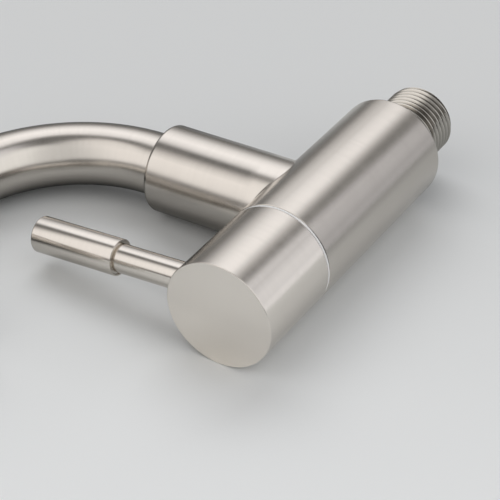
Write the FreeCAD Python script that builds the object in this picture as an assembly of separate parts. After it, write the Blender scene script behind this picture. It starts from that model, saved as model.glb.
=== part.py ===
import FreeCAD, Part
import math
import os

from FreeCAD import Vector

# Cold water tap for a wall outlet, in millimetres.
# The origin is the centre of the barrel's rear face, which meets the wall.
# +Y runs into the wall, -Y to the user, +Z up along the branch, +X to the user's right.
# "Depth" is a distance from the wall face towards the user, so y = -depth.

# Fits
RUN_FIT = 0.05          # radial gap between a turning piece and its bore
PRESS_FIT = 0.02        # radial gap between pieces that are pressed or screwed together
FREE_GAP = 0.3          # gap between pieces that pass each other without touching

# Barrel, the horizontal body
BARREL_D = 31.2
BARREL_LEN = 61.9
BARREL_REAR_ROUND = 0.8
BARREL_FRONT_CHAMFER = 0.2

# Branch, the upright socket that carries the spout
BRANCH_INSET = 21.4     # from the barrel's front end back to the branch's axis
BRANCH_TOP = 49.8
BRANCH_WALL = 1.65
BRANCH_BORE_LEN = 27.8
BRANCH_ROUND = 1.2
BRANCH_PORT_D = 15.0
SADDLE_FILLET = 0.8

# Inlet nipple, a G 1/2 pipe thread
THREAD_D = 20.955
NIPPLE_LEN = 18.8
NIPPLE_BORE_D = 14.2
NIPPLE_SHANK_RIM = 0.25     # how far the shank stands out past the thread
NIPPLE_SHANK_LEN = 10.0
NIPPLE_CHAMFER = 0.9

# Valve seat and chamber inside the barrel
SEAT_WEB = 3.0
SEAT_PORT_D = 12.6
HEX_INSET = 4.0         # from the barrel's front end back to the hexagon's seat
FRONT_WALL = 1.7        # barrel wall in front of the hexagon's seat

# Headwork: brass housing with the two ceramic discs
HEADWORK_LEN = 33.9     # from the valve seat to the hexagon's seat
HEADWORK_THREAD_LEN = 11.9
THREAD_RELIEF = 1.15    # how far the cage lies inside the thread's diameter
HOUSING_WALL = 0.7
HOUSING_BASE_GAP = 0.6
SEAT_WASHER_T = 2.2
DISC_T = 3.5
DISC_HUB_D = 4.4
PORT_OUTER_D = 12.4
PORT_ANGLE = 80.0
NOTCH_ANGLE = 90.0
DISC_LUG_W = 3.0
WINDOW_ANGLE = 80.0
WINDOW_HEIGHT = 8.0
HEX_GAP = 0.45          # between the hexagon's corners and the slip ring's lip
HEX_H = 6.5
HEX_CHAMFER = 0.8
NECK_D = 14.0
NECK_LEN = 3.6
HOUSING_O_RING_T = 1.6

# Spindle
SPINDLE_D = 10.0
SPINDLE_FLANGE_T = 3.0
SPINDLE_COLLAR_D = 13.0
SPINDLE_COLLAR_LEN = 5.0
LUG_ROOT = 0.5          # how far the stop lugs reach into the collar
TONGUE_W = 3.0
TONGUE_H = 1.6
THRUST_WASHER_T = 1.0
STOP_ANGLE = 40.0
STOP_SLACK = 2.0
QUARTER_TURN = 90.0
SPINDLE_O_RING_T = 1.8
SPINDLE_O_RING_INSETS = (9.9, 4.9)      # from the hexagon's seat back to each seal
CLIP_T = 1.0
CLIP_GROOVE = 0.8
CLIP_D = 13.0
CLIP_OPENING = 60.0
SERRATIONS = 20
SERRATION_D = 8.0
SERRATION_HEIGHT = 0.45
SERRATION_GAP = 2.0     # from the housing's neck to the serrations
SERRATION_LEN = 8.0
SPINDLE_TIP_D = 6.6
SPINDLE_TIP_LEN = 6.0

# Slip ring between the barrel and the handle
SLIP_RING_T = 0.7
SLIP_RING_LIP = 3.0
SLIP_RING_WALL = 0.75

# Handle cap
CAP_LEN = 29.0
CAP_EDGE = 0.25
CAP_WALL = 2.3
CAP_BORE_LEN = 9.0
CAP_FLOOR = 7.5
BUSH_D = 14.0
BUSH_TIP_GAP = 0.3

# Pin lever and its grip
LEVER_INSET = 18.4      # from the cap's rear end to the lever's axis
LEVER_TURN = -2.8       # degrees past the branch line, towards -X
ROD_D = 8.0
ROD_SEAT = 3.0
STUD_D = 6.0
STUD_LEN = 3.3
SET_SCREW_GAP = 0.98    # between the set screw and the lever's stud
SET_SCREW_KEY = 3.0
GRIP_D = 10.2
GRIP_WALL = 0.55
GRIP_START = 37.65
GRIP_END = 64.0
GRIP_RECESS = 1.0
GRIP_END_WALL = 3.0
GRIP_EDGE = 0.45

# Spout
TUBE_D = 18.0
TUBE_WALL = 1.0
BEND_R = 43.3
BEND_RISE = 3.7         # from the branch's top to the start of the bend
BEND_ANGLE = 150.0
SPIGOT_WALL = 2.0       # spigot beside the tube, to the branch's bore
SPIGOT_FLOOR_GAP = 0.4
SPIGOT_INSET = 4.0      # from the branch's top down to the spigot's top
SPIGOT_LEDGE = 1.6      # how far the spigot's bore lies inside the tube's diameter
TUBE_SOCKET = 7.8
SLIDE_RING_H = 2.0
SPOUT_O_RING_T = 2.2
SPOUT_O_RING_RISES = (5.5, 9.6)         # from the floor of the branch's bore to each seal
LOCK_GROOVE_RISE = 13.4
LOCK_GROOVE_W = 3.4
LOCK_GROOVE_DEPTH = 1.5
LOCK_SCREW_D = 3.0
LOCK_SCREW_KEY = 1.5
BEARING_RING_H = 3.2
BEARING_RECESS = 0.4

# Outlet and its aerator
OUTLET_LEG = 18.0       # from the end of the bend to the lip
COLLAR_STEP = 1.3       # how far the collar stands out past the tube
COLLAR_LEN = 12.0
COLLAR_TUBE_SOCKET = 5.0
COLLAR_EDGE = 0.5
COLLAR_WALL = 1.1       # collar wall beside the aerator
AERATOR_LEN = 7.0       # from the lip to the middle of the washer
AERATOR_LIP = 1.4
AERATOR_WALL = 1.4
AERATOR_LEDGE = 0.8     # ledge that carries the screen
AERATOR_SLOTS = 4
AERATOR_SLOT_W = 2.4
INSERT_T = 4.0
INSERT_HOLES = 8
INSERT_HOLE_D = 1.8
INSERT_PCD = 9.6
SCREEN_T = 0.6
AERATOR_WASHER_T = 1.2

TO_USER = Vector(0, -1, 0)
UP = Vector(0, 0, 1)
ORIGIN = Vector(0, 0, 0)

# Places and sizes that follow from the ones above
NIPPLE_SHANK_D = THREAD_D + 2 * NIPPLE_SHANK_RIM
BRANCH_BORE_D = TUBE_D + 2 * SPIGOT_WALL
BRANCH_D = BRANCH_BORE_D + 2 * BRANCH_WALL
BRANCH_FLOOR = BRANCH_TOP - BRANCH_BORE_LEN
BRANCH_DEPTH = BARREL_LEN - BRANCH_INSET
BRANCH_BASE = Vector(0, -BRANCH_DEPTH, 0)

CAP_REAR = BARREL_LEN + SLIP_RING_T + FREE_GAP
CAP_FRONT = CAP_REAR + CAP_LEN
CAP_BORE_D = BARREL_D - 2 * CAP_WALL
LEVER_BASE = Vector(0, -(CAP_REAR + LEVER_INSET), 0)
LEVER_DIR = Vector(math.sin(math.radians(LEVER_TURN)), 0, math.cos(math.radians(LEVER_TURN)))

FRONT_BORE_D = BARREL_D - 2 * FRONT_WALL
HEX_SEAT_DEPTH = BARREL_LEN - HEX_INSET
SEAT_DEPTH = HEX_SEAT_DEPTH - HEADWORK_LEN
THREAD_DEPTH = HEX_SEAT_DEPTH - HEADWORK_THREAD_LEN
HEX_CORNER_R = FRONT_BORE_D / 2 - SLIP_RING_WALL - HEX_GAP
HEX_AF = 2 * HEX_CORNER_R * math.cos(math.pi / 6)
NECK_END_DEPTH = HEX_SEAT_DEPTH + HEX_H + NECK_LEN
HOUSING_D = THREAD_D - 2 * THREAD_RELIEF
HOUSING_BORE_D = HOUSING_D - 2 * HOUSING_WALL
CHAMBER_D = THREAD_D - 2 * FREE_GAP
DISC_D = HOUSING_BORE_D - 4 * RUN_FIT
SEAT_WASHER_D = HOUSING_BORE_D - 4 * RUN_FIT

FIXED_DISC_DEPTH = SEAT_DEPTH + SEAT_WASHER_T
MOVING_DISC_DEPTH = FIXED_DISC_DEPTH + DISC_T
FLANGE_DEPTH = MOVING_DISC_DEPTH + DISC_T
COLLAR_DEPTH = FLANGE_DEPTH + SPINDLE_FLANGE_T
THRUST_DEPTH = COLLAR_DEPTH + SPINDLE_COLLAR_LEN
SHOULDER_DEPTH = THRUST_DEPTH + THRUST_WASHER_T
SPINDLE_O_RING_DEPTHS = [HEX_SEAT_DEPTH - inset for inset in SPINDLE_O_RING_INSETS]
SERRATION_START = NECK_END_DEPTH + SERRATION_GAP
SERRATION_END = SERRATION_START + SERRATION_LEN
SPINDLE_END = SERRATION_END + SPINDLE_TIP_LEN
BUSH_END = CAP_FRONT - CAP_FLOOR - BUSH_TIP_GAP

SPIGOT_START = BRANCH_FLOOR + SPIGOT_FLOOR_GAP
SPIGOT_TOP = BRANCH_TOP - SPIGOT_INSET
SPIGOT_BORE_D = TUBE_D - 2 * SPIGOT_LEDGE
SPOUT_O_RING_HEIGHTS = [BRANCH_FLOOR + rise for rise in SPOUT_O_RING_RISES]
LOCK_GROOVE_HEIGHT = BRANCH_FLOOR + LOCK_GROOVE_RISE
BEND_START = BRANCH_BASE + UP * (BRANCH_TOP + BEND_RISE)
BEND_CENTRE = BEND_START + TO_USER * BEND_R
BEND_ARM = Vector(0, math.cos(math.radians(BEND_ANGLE)), math.sin(math.radians(BEND_ANGLE)))

# The outlet's pieces are placed along its axis, from the middle of the lip's face into the tube
OUTLET_IN = Vector(0, BEND_ARM.z, -BEND_ARM.y)
OUTLET_TURN = FreeCAD.Rotation(UP, OUTLET_IN)
OUTLET_BASE = BEND_CENTRE + BEND_ARM * BEND_R - OUTLET_IN * OUTLET_LEG
COLLAR_D = TUBE_D + 2 * COLLAR_STEP
COLLAR_TOP = AERATOR_LIP + COLLAR_LEN
TUBE_END = COLLAR_TOP - COLLAR_TUBE_SOCKET
AERATOR_D = COLLAR_D - 2 * COLLAR_WALL
AERATOR_BORE_D = AERATOR_D - 2 * AERATOR_WALL
WASHER_TOP = AERATOR_LIP + AERATOR_LEN - AERATOR_WASHER_T / 2


def lathe(profile, base=ORIGIN, axis=TO_USER, angle=360.0):
    """Solid turned about an axis. Each profile point is (distance along the axis, radius)."""
    side = axis.cross(Vector(1, 0, 0)).normalize()
    points = [base + axis * along + side * radius for along, radius in profile]
    face = Part.Face(Part.makePolygon(points + points[:1]))
    return face.revolve(base, axis, angle)


def tube(start, end, inner_d, outer_d, base=ORIGIN, axis=TO_USER):
    """Plain ring or sleeve between two places on its axis."""
    return lathe([(start, inner_d / 2), (end, inner_d / 2), (end, outer_d / 2), (start, outer_d / 2)],
                 base, axis)


def rod(start, end, diameter, base=ORIGIN, axis=TO_USER):
    """Plain round bar between two places on its axis."""
    return Part.makeCylinder(diameter / 2, end - start, base + axis * start, axis)


def prism(points, start, end, base=ORIGIN, axis=TO_USER):
    """Bar of constant section. Each point is (x, height) square to the barrel's axis."""
    corners = [base + axis * start + Vector(x, 0, z) for x, z in points]
    return Part.Face(Part.makePolygon(corners + corners[:1])).extrude(axis * (end - start))


def hexagon(across_flats):
    """Corners of a regular hexagon."""
    radius = across_flats / 2 / math.cos(math.pi / 6)
    return [(radius * math.cos(math.radians(60 * i)), radius * math.sin(math.radians(60 * i)))
            for i in range(6)]


def serrated(diameter):
    """Corners of a ring of fine triangular serrations of the given tip diameter."""
    corners = []
    for i in range(2 * SERRATIONS):
        radius = diameter / 2 - SERRATION_HEIGHT * (i % 2)
        angle = math.pi * i / SERRATIONS
        corners.append((radius * math.cos(angle), radius * math.sin(angle)))
    return corners


def sector(inner_d, outer_d, start, end, middle, width):
    """Part of a ring about the barrel's axis, centred on an angle from +Z towards +X."""
    piece = lathe([(start, inner_d / 2), (end, inner_d / 2), (end, outer_d / 2), (start, outer_d / 2)],
                  angle=width)
    swept_middle = math.degrees(math.atan2(piece.CenterOfMass.x, piece.CenterOfMass.z))
    piece.rotate(ORIGIN, Vector(0, 1, 0), middle - swept_middle)
    return piece


def socket_key(across_flats, start, end, base, axis):
    """Hexagonal key socket along any axis."""
    cutter = Part.Face(Part.makePolygon([Vector(x, y, 0) for x, y in hexagon(across_flats)]
                                        + [Vector(*hexagon(across_flats)[0], 0)]))
    cutter = cutter.extrude(Vector(0, 0, end - start))
    cutter.Placement = FreeCAD.Placement(base + axis * start, FreeCAD.Rotation(UP, axis))
    return cutter


def circle_edges(shape, base, axis, along, diameter):
    """Circular edges of a shape at a place on an axis."""
    centre = base + axis * along
    found = []
    for edge in shape.Edges:
        curve = edge.Curve
        if isinstance(curve, Part.Circle) and abs(curve.Radius - diameter / 2) < 1e-6:
            if curve.Center.distanceToPoint(centre) < 1e-6:
                found.append(edge)
    return found


def rounded(shape, radius, base, axis, along, diameter):
    """Shape with one circular edge rounded."""
    return shape.makeFillet(radius, circle_edges(shape, base, axis, along, diameter))


def chamfered(shape, size, base, axis, along, diameter):
    """Shape with one circular edge chamfered."""
    return shape.makeChamfer(size, circle_edges(shape, base, axis, along, diameter))


def ring_seal(section, outer_d, along, base=ORIGIN, axis=TO_USER):
    """O-ring of the given section, from its outer diameter."""
    return Part.makeTorus((outer_d - section) / 2, section / 2, base + axis * along, axis)


def make_tap_body():
    """Barrel with its branch welded on top, bored for the inlet, the headwork and the spout."""
    barrel = rod(0, BARREL_LEN, BARREL_D)
    barrel = rounded(barrel, BARREL_REAR_ROUND, ORIGIN, TO_USER, 0, BARREL_D)
    barrel = chamfered(barrel, BARREL_FRONT_CHAMFER, ORIGIN, TO_USER, BARREL_LEN, BARREL_D)
    branch = rod(0, BRANCH_TOP, BRANCH_D, BRANCH_BASE, UP)
    branch = rounded(branch, BRANCH_ROUND, BRANCH_BASE, UP, BRANCH_TOP, BRANCH_D)
    body = barrel.fuse(branch)
    body = body.makeFillet(SADDLE_FILLET, saddle_edges(body))
    for cutter in body_bores():
        body = body.cut(cutter)
    return body


def saddle_edges(body):
    """Edges of the seam where the branch meets the barrel."""
    found = []
    for edge in body.Edges:
        point = edge.valueAt((edge.FirstParameter + edge.LastParameter) / 2)
        on_barrel = abs(math.hypot(point.x, point.z) - BARREL_D / 2) < 1e-4
        on_branch = abs(math.hypot(point.x, point.y + BRANCH_DEPTH) - BRANCH_D / 2) < 1e-4
        if on_barrel and on_branch and not isinstance(edge.Curve, Part.Line):
            found.append(edge)
    return found


def body_bores():
    """Cutters for the waterway, the valve chamber, the headwork's thread and the spout's bore."""
    shank_bore = rod(0, NIPPLE_SHANK_LEN, NIPPLE_SHANK_D + 2 * PRESS_FIT)
    waterway = rod(0, SEAT_DEPTH - SEAT_WEB, NIPPLE_BORE_D)
    seat_port = rod(0, SEAT_DEPTH, SEAT_PORT_D)
    chamber = rod(SEAT_DEPTH, BARREL_LEN, CHAMBER_D)
    headwork_thread = rod(THREAD_DEPTH, BARREL_LEN, THREAD_D + 2 * PRESS_FIT)
    front_bore = rod(HEX_SEAT_DEPTH, BARREL_LEN, FRONT_BORE_D)
    spout_bore = rod(BRANCH_FLOOR, BRANCH_TOP, BRANCH_BORE_D, BRANCH_BASE, UP)
    branch_port = rod(0, BRANCH_TOP, BRANCH_PORT_D, BRANCH_BASE, UP)
    lock_hole = rod(0, BRANCH_D, LOCK_SCREW_D + 2 * PRESS_FIT,
                    BRANCH_BASE + UP * LOCK_GROOVE_HEIGHT, Vector(0, 1, 0))
    return [shank_bore, waterway, seat_port, chamber, headwork_thread, front_bore,
            spout_bore, branch_port, lock_hole]


def make_inlet_nipple():
    """Threaded inlet, plain at the thread's outer diameter, with a shank set into the barrel."""
    outer, bore = THREAD_D / 2, NIPPLE_BORE_D / 2
    shank = NIPPLE_SHANK_D / 2
    profile = [(-NIPPLE_LEN, bore), (-NIPPLE_LEN, outer - NIPPLE_CHAMFER),
               (-NIPPLE_LEN + NIPPLE_CHAMFER, outer), (0, outer), (0, shank),
               (NIPPLE_SHANK_LEN, shank), (NIPPLE_SHANK_LEN, bore)]
    return lathe(profile)


def make_slip_ring():
    """White ring that shows between barrel and handle, with a lip inside the barrel."""
    inner = FRONT_BORE_D / 2 - SLIP_RING_WALL
    lip_outer = FRONT_BORE_D / 2 - PRESS_FIT
    face = BARREL_D / 2
    profile = [(BARREL_LEN - SLIP_RING_LIP, inner), (BARREL_LEN + SLIP_RING_T, inner),
               (BARREL_LEN + SLIP_RING_T, face), (BARREL_LEN, face), (BARREL_LEN, lip_outer),
               (BARREL_LEN - SLIP_RING_LIP, lip_outer)]
    return lathe(profile)


def make_seat_washer():
    """Rubber washer that seals the headwork on the valve seat."""
    return tube(SEAT_DEPTH, SEAT_DEPTH + SEAT_WASHER_T, SEAT_PORT_D, SEAT_WASHER_D)


def make_headwork_housing():
    """Brass housing: windowed cage for the discs, thread, hexagon and the spindle's neck."""
    base = SEAT_DEPTH + HOUSING_BASE_GAP
    cage, thread, neck = HOUSING_D / 2, THREAD_D / 2, NECK_D / 2
    hex_front = HEX_SEAT_DEPTH + HEX_H
    groove = HOUSING_O_RING_T
    housing = lathe([(base, 0), (base, cage), (THREAD_DEPTH + groove, cage),
                     (THREAD_DEPTH + groove, thread),
                     (HEX_SEAT_DEPTH - groove, thread), (HEX_SEAT_DEPTH - groove, thread - groove),
                     (HEX_SEAT_DEPTH, thread - groove), (hex_front, thread - groove),
                     (hex_front, neck), (NECK_END_DEPTH, neck), (NECK_END_DEPTH, 0)])
    nut = prism(hexagon(HEX_AF), HEX_SEAT_DEPTH, hex_front)
    blunt = lathe([(HEX_SEAT_DEPTH, 0), (HEX_SEAT_DEPTH, HEX_CORNER_R),
                   (hex_front - HEX_CHAMFER, HEX_CORNER_R),
                   (hex_front, HEX_CORNER_R - HEX_CHAMFER / math.tan(math.pi / 6)), (hex_front, 0)])
    housing = housing.fuse(nut.common(blunt))
    housing = housing.cut(rod(base, SHOULDER_DEPTH, HOUSING_BORE_D))
    housing = housing.cut(rod(base, NECK_END_DEPTH, SPINDLE_D + 2 * RUN_FIT))
    for side in (0, 180):
        stop = sector(SPINDLE_COLLAR_D + 2 * FREE_GAP, HOUSING_BORE_D + 2 * PRESS_FIT,
                      COLLAR_DEPTH + FREE_GAP, SHOULDER_DEPTH, side, STOP_ANGLE)
        housing = housing.fuse(stop)
        window = sector(SPINDLE_COLLAR_D, HOUSING_D + 2 * FREE_GAP, MOVING_DISC_DEPTH,
                        MOVING_DISC_DEPTH + WINDOW_HEIGHT, side + 90, WINDOW_ANGLE)
        housing = housing.cut(window)
        slot_w = DISC_LUG_W + 2 * PRESS_FIT
        slot = Part.makeBox(slot_w, MOVING_DISC_DEPTH - base, HOUSING_D,
                            Vector(-slot_w / 2, -MOVING_DISC_DEPTH, 0))
        slot.rotate(ORIGIN, Vector(0, 1, 0), side)
        housing = housing.cut(slot)
    return housing


def make_headwork_o_ring():
    """O-ring under the hexagon, sealing the housing to the barrel."""
    return ring_seal(HOUSING_O_RING_T, THREAD_D, HEX_SEAT_DEPTH - HOUSING_O_RING_T / 2)


def make_fixed_disc():
    """Lower ceramic disc: two ports, and two lugs that keep it from turning."""
    disc = rod(FIXED_DISC_DEPTH, MOVING_DISC_DEPTH, DISC_D)
    for side in (0, 180):
        corner = Vector(-DISC_LUG_W / 2, -MOVING_DISC_DEPTH, 0)
        lug = Part.makeBox(DISC_LUG_W, DISC_T, HOUSING_D / 2, corner)
        lug.rotate(ORIGIN, Vector(0, 1, 0), side)
        disc = disc.fuse(lug)
    for side in (90, 270):
        port = sector(DISC_HUB_D, PORT_OUTER_D, FIXED_DISC_DEPTH, MOVING_DISC_DEPTH, side, PORT_ANGLE)
        disc = disc.cut(port)
    return disc


def make_moving_disc():
    """Upper ceramic disc: its two lands cover the ports at rest and uncover them in a quarter turn."""
    disc = rod(MOVING_DISC_DEPTH, FLANGE_DEPTH, HOUSING_BORE_D - 2 * FREE_GAP)
    for side in (0, 180):
        notch = sector(DISC_HUB_D, HOUSING_BORE_D, MOVING_DISC_DEPTH, FLANGE_DEPTH, side, NOTCH_ANGLE)
        disc = disc.cut(notch)
    return disc.cut(tongue(TONGUE_W + 2 * PRESS_FIT))


def tongue(width):
    """Bar across the spindle's foot that drives the moving disc, along its lands."""
    length = HOUSING_BORE_D
    return Part.makeBox(length, TONGUE_H, width, Vector(-length / 2, -FLANGE_DEPTH, -width / 2))


def make_spindle():
    """Brass spindle: driving foot, stop lugs, sealed stem, clip groove and serrated end."""
    foot, stem = HOUSING_BORE_D / 2 - FREE_GAP, SPINDLE_D / 2
    groove = stem - SPINDLE_O_RING_T
    profile = [(FLANGE_DEPTH, 0), (FLANGE_DEPTH, foot), (COLLAR_DEPTH, foot),
               (COLLAR_DEPTH, SPINDLE_COLLAR_D / 2), (THRUST_DEPTH, SPINDLE_COLLAR_D / 2),
               (THRUST_DEPTH, stem)]
    for depth in SPINDLE_O_RING_DEPTHS:
        profile += [(depth - SPINDLE_O_RING_T / 2, stem), (depth - SPINDLE_O_RING_T / 2, groove),
                    (depth + SPINDLE_O_RING_T / 2, groove), (depth + SPINDLE_O_RING_T / 2, stem)]
    clip_start = NECK_END_DEPTH + FREE_GAP
    profile += [(clip_start, stem), (clip_start, stem - CLIP_GROOVE),
                (clip_start + CLIP_T, stem - CLIP_GROOVE), (clip_start + CLIP_T, stem),
                (SERRATION_START, stem), (SERRATION_START, 0)]
    spindle = lathe(profile)
    for side in (0, 180):
        notch = sector(SPINDLE_COLLAR_D, HOUSING_BORE_D, FLANGE_DEPTH, COLLAR_DEPTH, side, NOTCH_ANGLE)
        spindle = spindle.cut(notch)
        spindle = spindle.fuse(stop_lug(side))
    spindle = spindle.fuse(tongue(TONGUE_W).common(lathe([(MOVING_DISC_DEPTH, 0), (MOVING_DISC_DEPTH, foot),
                                                          (FLANGE_DEPTH, foot), (FLANGE_DEPTH, 0)])))
    spindle = spindle.fuse(prism(serrated(SERRATION_D), SERRATION_START, SERRATION_END))
    return spindle.fuse(rod(SERRATION_END, SPINDLE_END, SPINDLE_TIP_D))


def stop_lug(side):
    """Lug on the spindle's collar that meets the housing's stops after a quarter turn."""
    width = 180.0 - STOP_ANGLE - QUARTER_TURN - 2 * STOP_SLACK
    middle = side + STOP_ANGLE / 2 + STOP_SLACK + width / 2 + QUARTER_TURN
    return sector(SPINDLE_COLLAR_D - 2 * LUG_ROOT, HOUSING_BORE_D - 2 * FREE_GAP,
                  COLLAR_DEPTH, THRUST_DEPTH, middle, width)


def make_thrust_washer():
    """Washer between the spindle's collar and the housing's shoulder, clear of the stops."""
    return tube(THRUST_DEPTH, SHOULDER_DEPTH, SPINDLE_D + 2 * RUN_FIT, SPINDLE_COLLAR_D)


def make_spindle_o_rings():
    """Two O-rings on the stem, sealing in the housing's neck."""
    return Part.makeCompound([ring_seal(SPINDLE_O_RING_T, SPINDLE_D, depth)
                              for depth in SPINDLE_O_RING_DEPTHS])


def make_spindle_clip():
    """Open spring ring that keeps the spindle in the housing."""
    start = NECK_END_DEPTH + FREE_GAP
    inner = SPINDLE_D - 2 * CLIP_GROOVE + 2 * PRESS_FIT
    return sector(inner, CLIP_D, start, start + CLIP_T, 180, 360 - CLIP_OPENING)


def make_spline_bush():
    """Serrated bush between the spindle and the handle cap, with a hole for the set screw."""
    bush = rod(SERRATION_START, BUSH_END, BUSH_D - 2 * PRESS_FIT)
    bush = bush.cut(prism(serrated(SERRATION_D + 2 * RUN_FIT), SERRATION_START, SERRATION_END))
    bush = bush.cut(rod(SERRATION_END, SPINDLE_END + FREE_GAP, SPINDLE_TIP_D + 2 * RUN_FIT))
    return bush.cut(rod(0, BUSH_D, STUD_D + 2 * PRESS_FIT, LEVER_BASE, LEVER_DIR))


def make_handle_cap():
    """Blank cylindrical cap that carries the lever and turns the spindle."""
    cap = rod(CAP_REAR, CAP_FRONT, BARREL_D)
    cap = chamfered(cap, CAP_EDGE, ORIGIN, TO_USER, CAP_FRONT, BARREL_D)
    cap = chamfered(cap, BARREL_FRONT_CHAMFER, ORIGIN, TO_USER, CAP_REAR, BARREL_D)
    cap = cap.cut(rod(CAP_REAR, CAP_REAR + CAP_BORE_LEN, CAP_BORE_D))
    cap = cap.cut(rod(CAP_REAR, CAP_FRONT - CAP_FLOOR, BUSH_D))
    cap = cap.cut(rod(0, BARREL_D, STUD_D + 2 * PRESS_FIT, LEVER_BASE, LEVER_DIR))
    return cap.cut(rod(BARREL_D / 2 - ROD_SEAT, BARREL_D, ROD_D + 2 * PRESS_FIT, LEVER_BASE, LEVER_DIR))


def make_handle_set_screw():
    """Set screw behind the lever that clamps the cap to the spindle's tip."""
    start = SPINDLE_TIP_D / 2 + PRESS_FIT
    end = BARREL_D / 2 - ROD_SEAT - STUD_LEN - SET_SCREW_GAP
    screw = rod(start, end, STUD_D, LEVER_BASE, LEVER_DIR)
    return screw.cut(socket_key(SET_SCREW_KEY, (start + end) / 2, end, LEVER_BASE, LEVER_DIR))


def make_lever_rod():
    """Rod of the lever, with the stud that screws into the cap."""
    seat = BARREL_D / 2 - ROD_SEAT
    end = GRIP_END - GRIP_END_WALL - FREE_GAP
    return lathe([(seat - STUD_LEN, 0), (seat - STUD_LEN, STUD_D / 2), (seat, STUD_D / 2),
                  (seat, ROD_D / 2), (end, ROD_D / 2), (end, 0)], LEVER_BASE, LEVER_DIR)


def make_lever_grip():
    """Sleeve on the rod's outer end, closed at the tip and recessed round the rod."""
    hold = ROD_D / 2 + PRESS_FIT
    outer = GRIP_D / 2
    recess = outer - GRIP_WALL
    floor = GRIP_END - GRIP_END_WALL
    grip = lathe([(GRIP_START, recess), (GRIP_START, outer), (GRIP_END, outer), (GRIP_END, 0), (floor, 0),
                  (floor, hold), (GRIP_START + GRIP_RECESS, hold), (GRIP_START + GRIP_RECESS, recess)],
                 LEVER_BASE, LEVER_DIR)
    return rounded(grip, GRIP_EDGE, LEVER_BASE, LEVER_DIR, GRIP_END, GRIP_D)


def make_spout_tube():
    """Swan-neck tube: up out of the branch, over in one arc and forwards and down to the outlet."""
    inner_d = TUBE_D - 2 * TUBE_WALL
    rise = tube(SPIGOT_TOP - TUBE_SOCKET, BEND_START.z, inner_d, TUBE_D, BRANCH_BASE, UP)
    rings = [Part.Wire(Part.makeCircle(d / 2, BEND_START, UP)) for d in (TUBE_D, inner_d)]
    bend = Part.Face(rings).revolve(BEND_CENTRE, Vector(1, 0, 0), BEND_ANGLE)
    drop = tube(TUBE_END, OUTLET_LEG, inner_d, TUBE_D, OUTLET_BASE, OUTLET_IN)
    return rise.fuse([bend, drop]).removeSplitter()


def make_spout_spigot():
    """Brass foot of the spout that turns in the branch, grooved for its rings and lock screw."""
    outer = BRANCH_BORE_D / 2 - RUN_FIT
    bore = SPIGOT_BORE_D / 2
    ring_h = SLIDE_RING_H
    profile = [(SPIGOT_START, bore), (SPIGOT_START, outer - LOCK_GROOVE_DEPTH),
               (SPIGOT_START + ring_h, outer - LOCK_GROOVE_DEPTH), (SPIGOT_START + ring_h, outer)]
    for height in SPOUT_O_RING_HEIGHTS:
        half = SPOUT_O_RING_T / 2
        profile += [(height - half, outer), (height - half, outer - SPOUT_O_RING_T),
                    (height + half, outer - SPOUT_O_RING_T), (height + half, outer)]
    low, high = LOCK_GROOVE_HEIGHT - LOCK_GROOVE_W / 2, LOCK_GROOVE_HEIGHT + LOCK_GROOVE_W / 2
    profile += [(low, outer), (low, outer - LOCK_GROOVE_DEPTH),
                (high, outer - LOCK_GROOVE_DEPTH), (high, outer),
                (SPIGOT_TOP, outer), (SPIGOT_TOP, TUBE_D / 2 + PRESS_FIT),
                (SPIGOT_TOP - TUBE_SOCKET, TUBE_D / 2 + PRESS_FIT), (SPIGOT_TOP - TUBE_SOCKET, bore)]
    return lathe(profile, BRANCH_BASE, UP)


def make_spout_slide_ring():
    """Nylon ring round the spigot's foot that centres it in the branch."""
    outer = BRANCH_BORE_D - 2 * RUN_FIT
    inner = outer - 2 * LOCK_GROOVE_DEPTH + 2 * PRESS_FIT
    return tube(SPIGOT_START, SPIGOT_START + SLIDE_RING_H, inner, outer, BRANCH_BASE, UP)


def make_spout_o_rings():
    """Two O-rings that seal the spigot in the branch."""
    outer = BRANCH_BORE_D - 2 * RUN_FIT
    return Part.makeCompound([ring_seal(SPOUT_O_RING_T, outer, height, BRANCH_BASE, UP)
                              for height in SPOUT_O_RING_HEIGHTS])


def make_spout_bearing_ring():
    """Nylon ring in the branch's mouth that guides the tube."""
    top = BRANCH_TOP - BEARING_RECESS
    return tube(top - BEARING_RING_H, top, TUBE_D + 2 * RUN_FIT, BRANCH_BORE_D - 2 * PRESS_FIT,
                BRANCH_BASE, UP)


def make_spout_lock_screw():
    """Set screw in the back of the branch whose tip runs in the spigot's groove."""
    base = BRANCH_BASE + UP * LOCK_GROOVE_HEIGHT
    back = Vector(0, 1, 0)
    tip = BRANCH_BORE_D / 2 - LOCK_GROOVE_DEPTH - RUN_FIT + FREE_GAP
    head = BRANCH_D / 2 - FREE_GAP
    screw = rod(tip, head, LOCK_SCREW_D, base, back)
    return screw.cut(socket_key(LOCK_SCREW_KEY, (tip + head) / 2, head, base, back))


def make_outlet_collar():
    """Collar brazed on the tube's end, threaded inside for the aerator."""
    thread = AERATOR_D / 2 + PRESS_FIT
    waist = TUBE_D / 2 - TUBE_WALL
    collar = lathe([(AERATOR_LIP, thread), (AERATOR_LIP, COLLAR_D / 2), (COLLAR_TOP, COLLAR_D / 2),
                    (COLLAR_TOP, TUBE_D / 2 + PRESS_FIT), (TUBE_END, TUBE_D / 2 + PRESS_FIT),
                    (TUBE_END, waist), (WASHER_TOP, waist), (WASHER_TOP, thread)], OUTLET_BASE, OUTLET_IN)
    return chamfered(collar, COLLAR_EDGE, OUTLET_BASE, OUTLET_IN, COLLAR_TOP, COLLAR_D)


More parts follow.
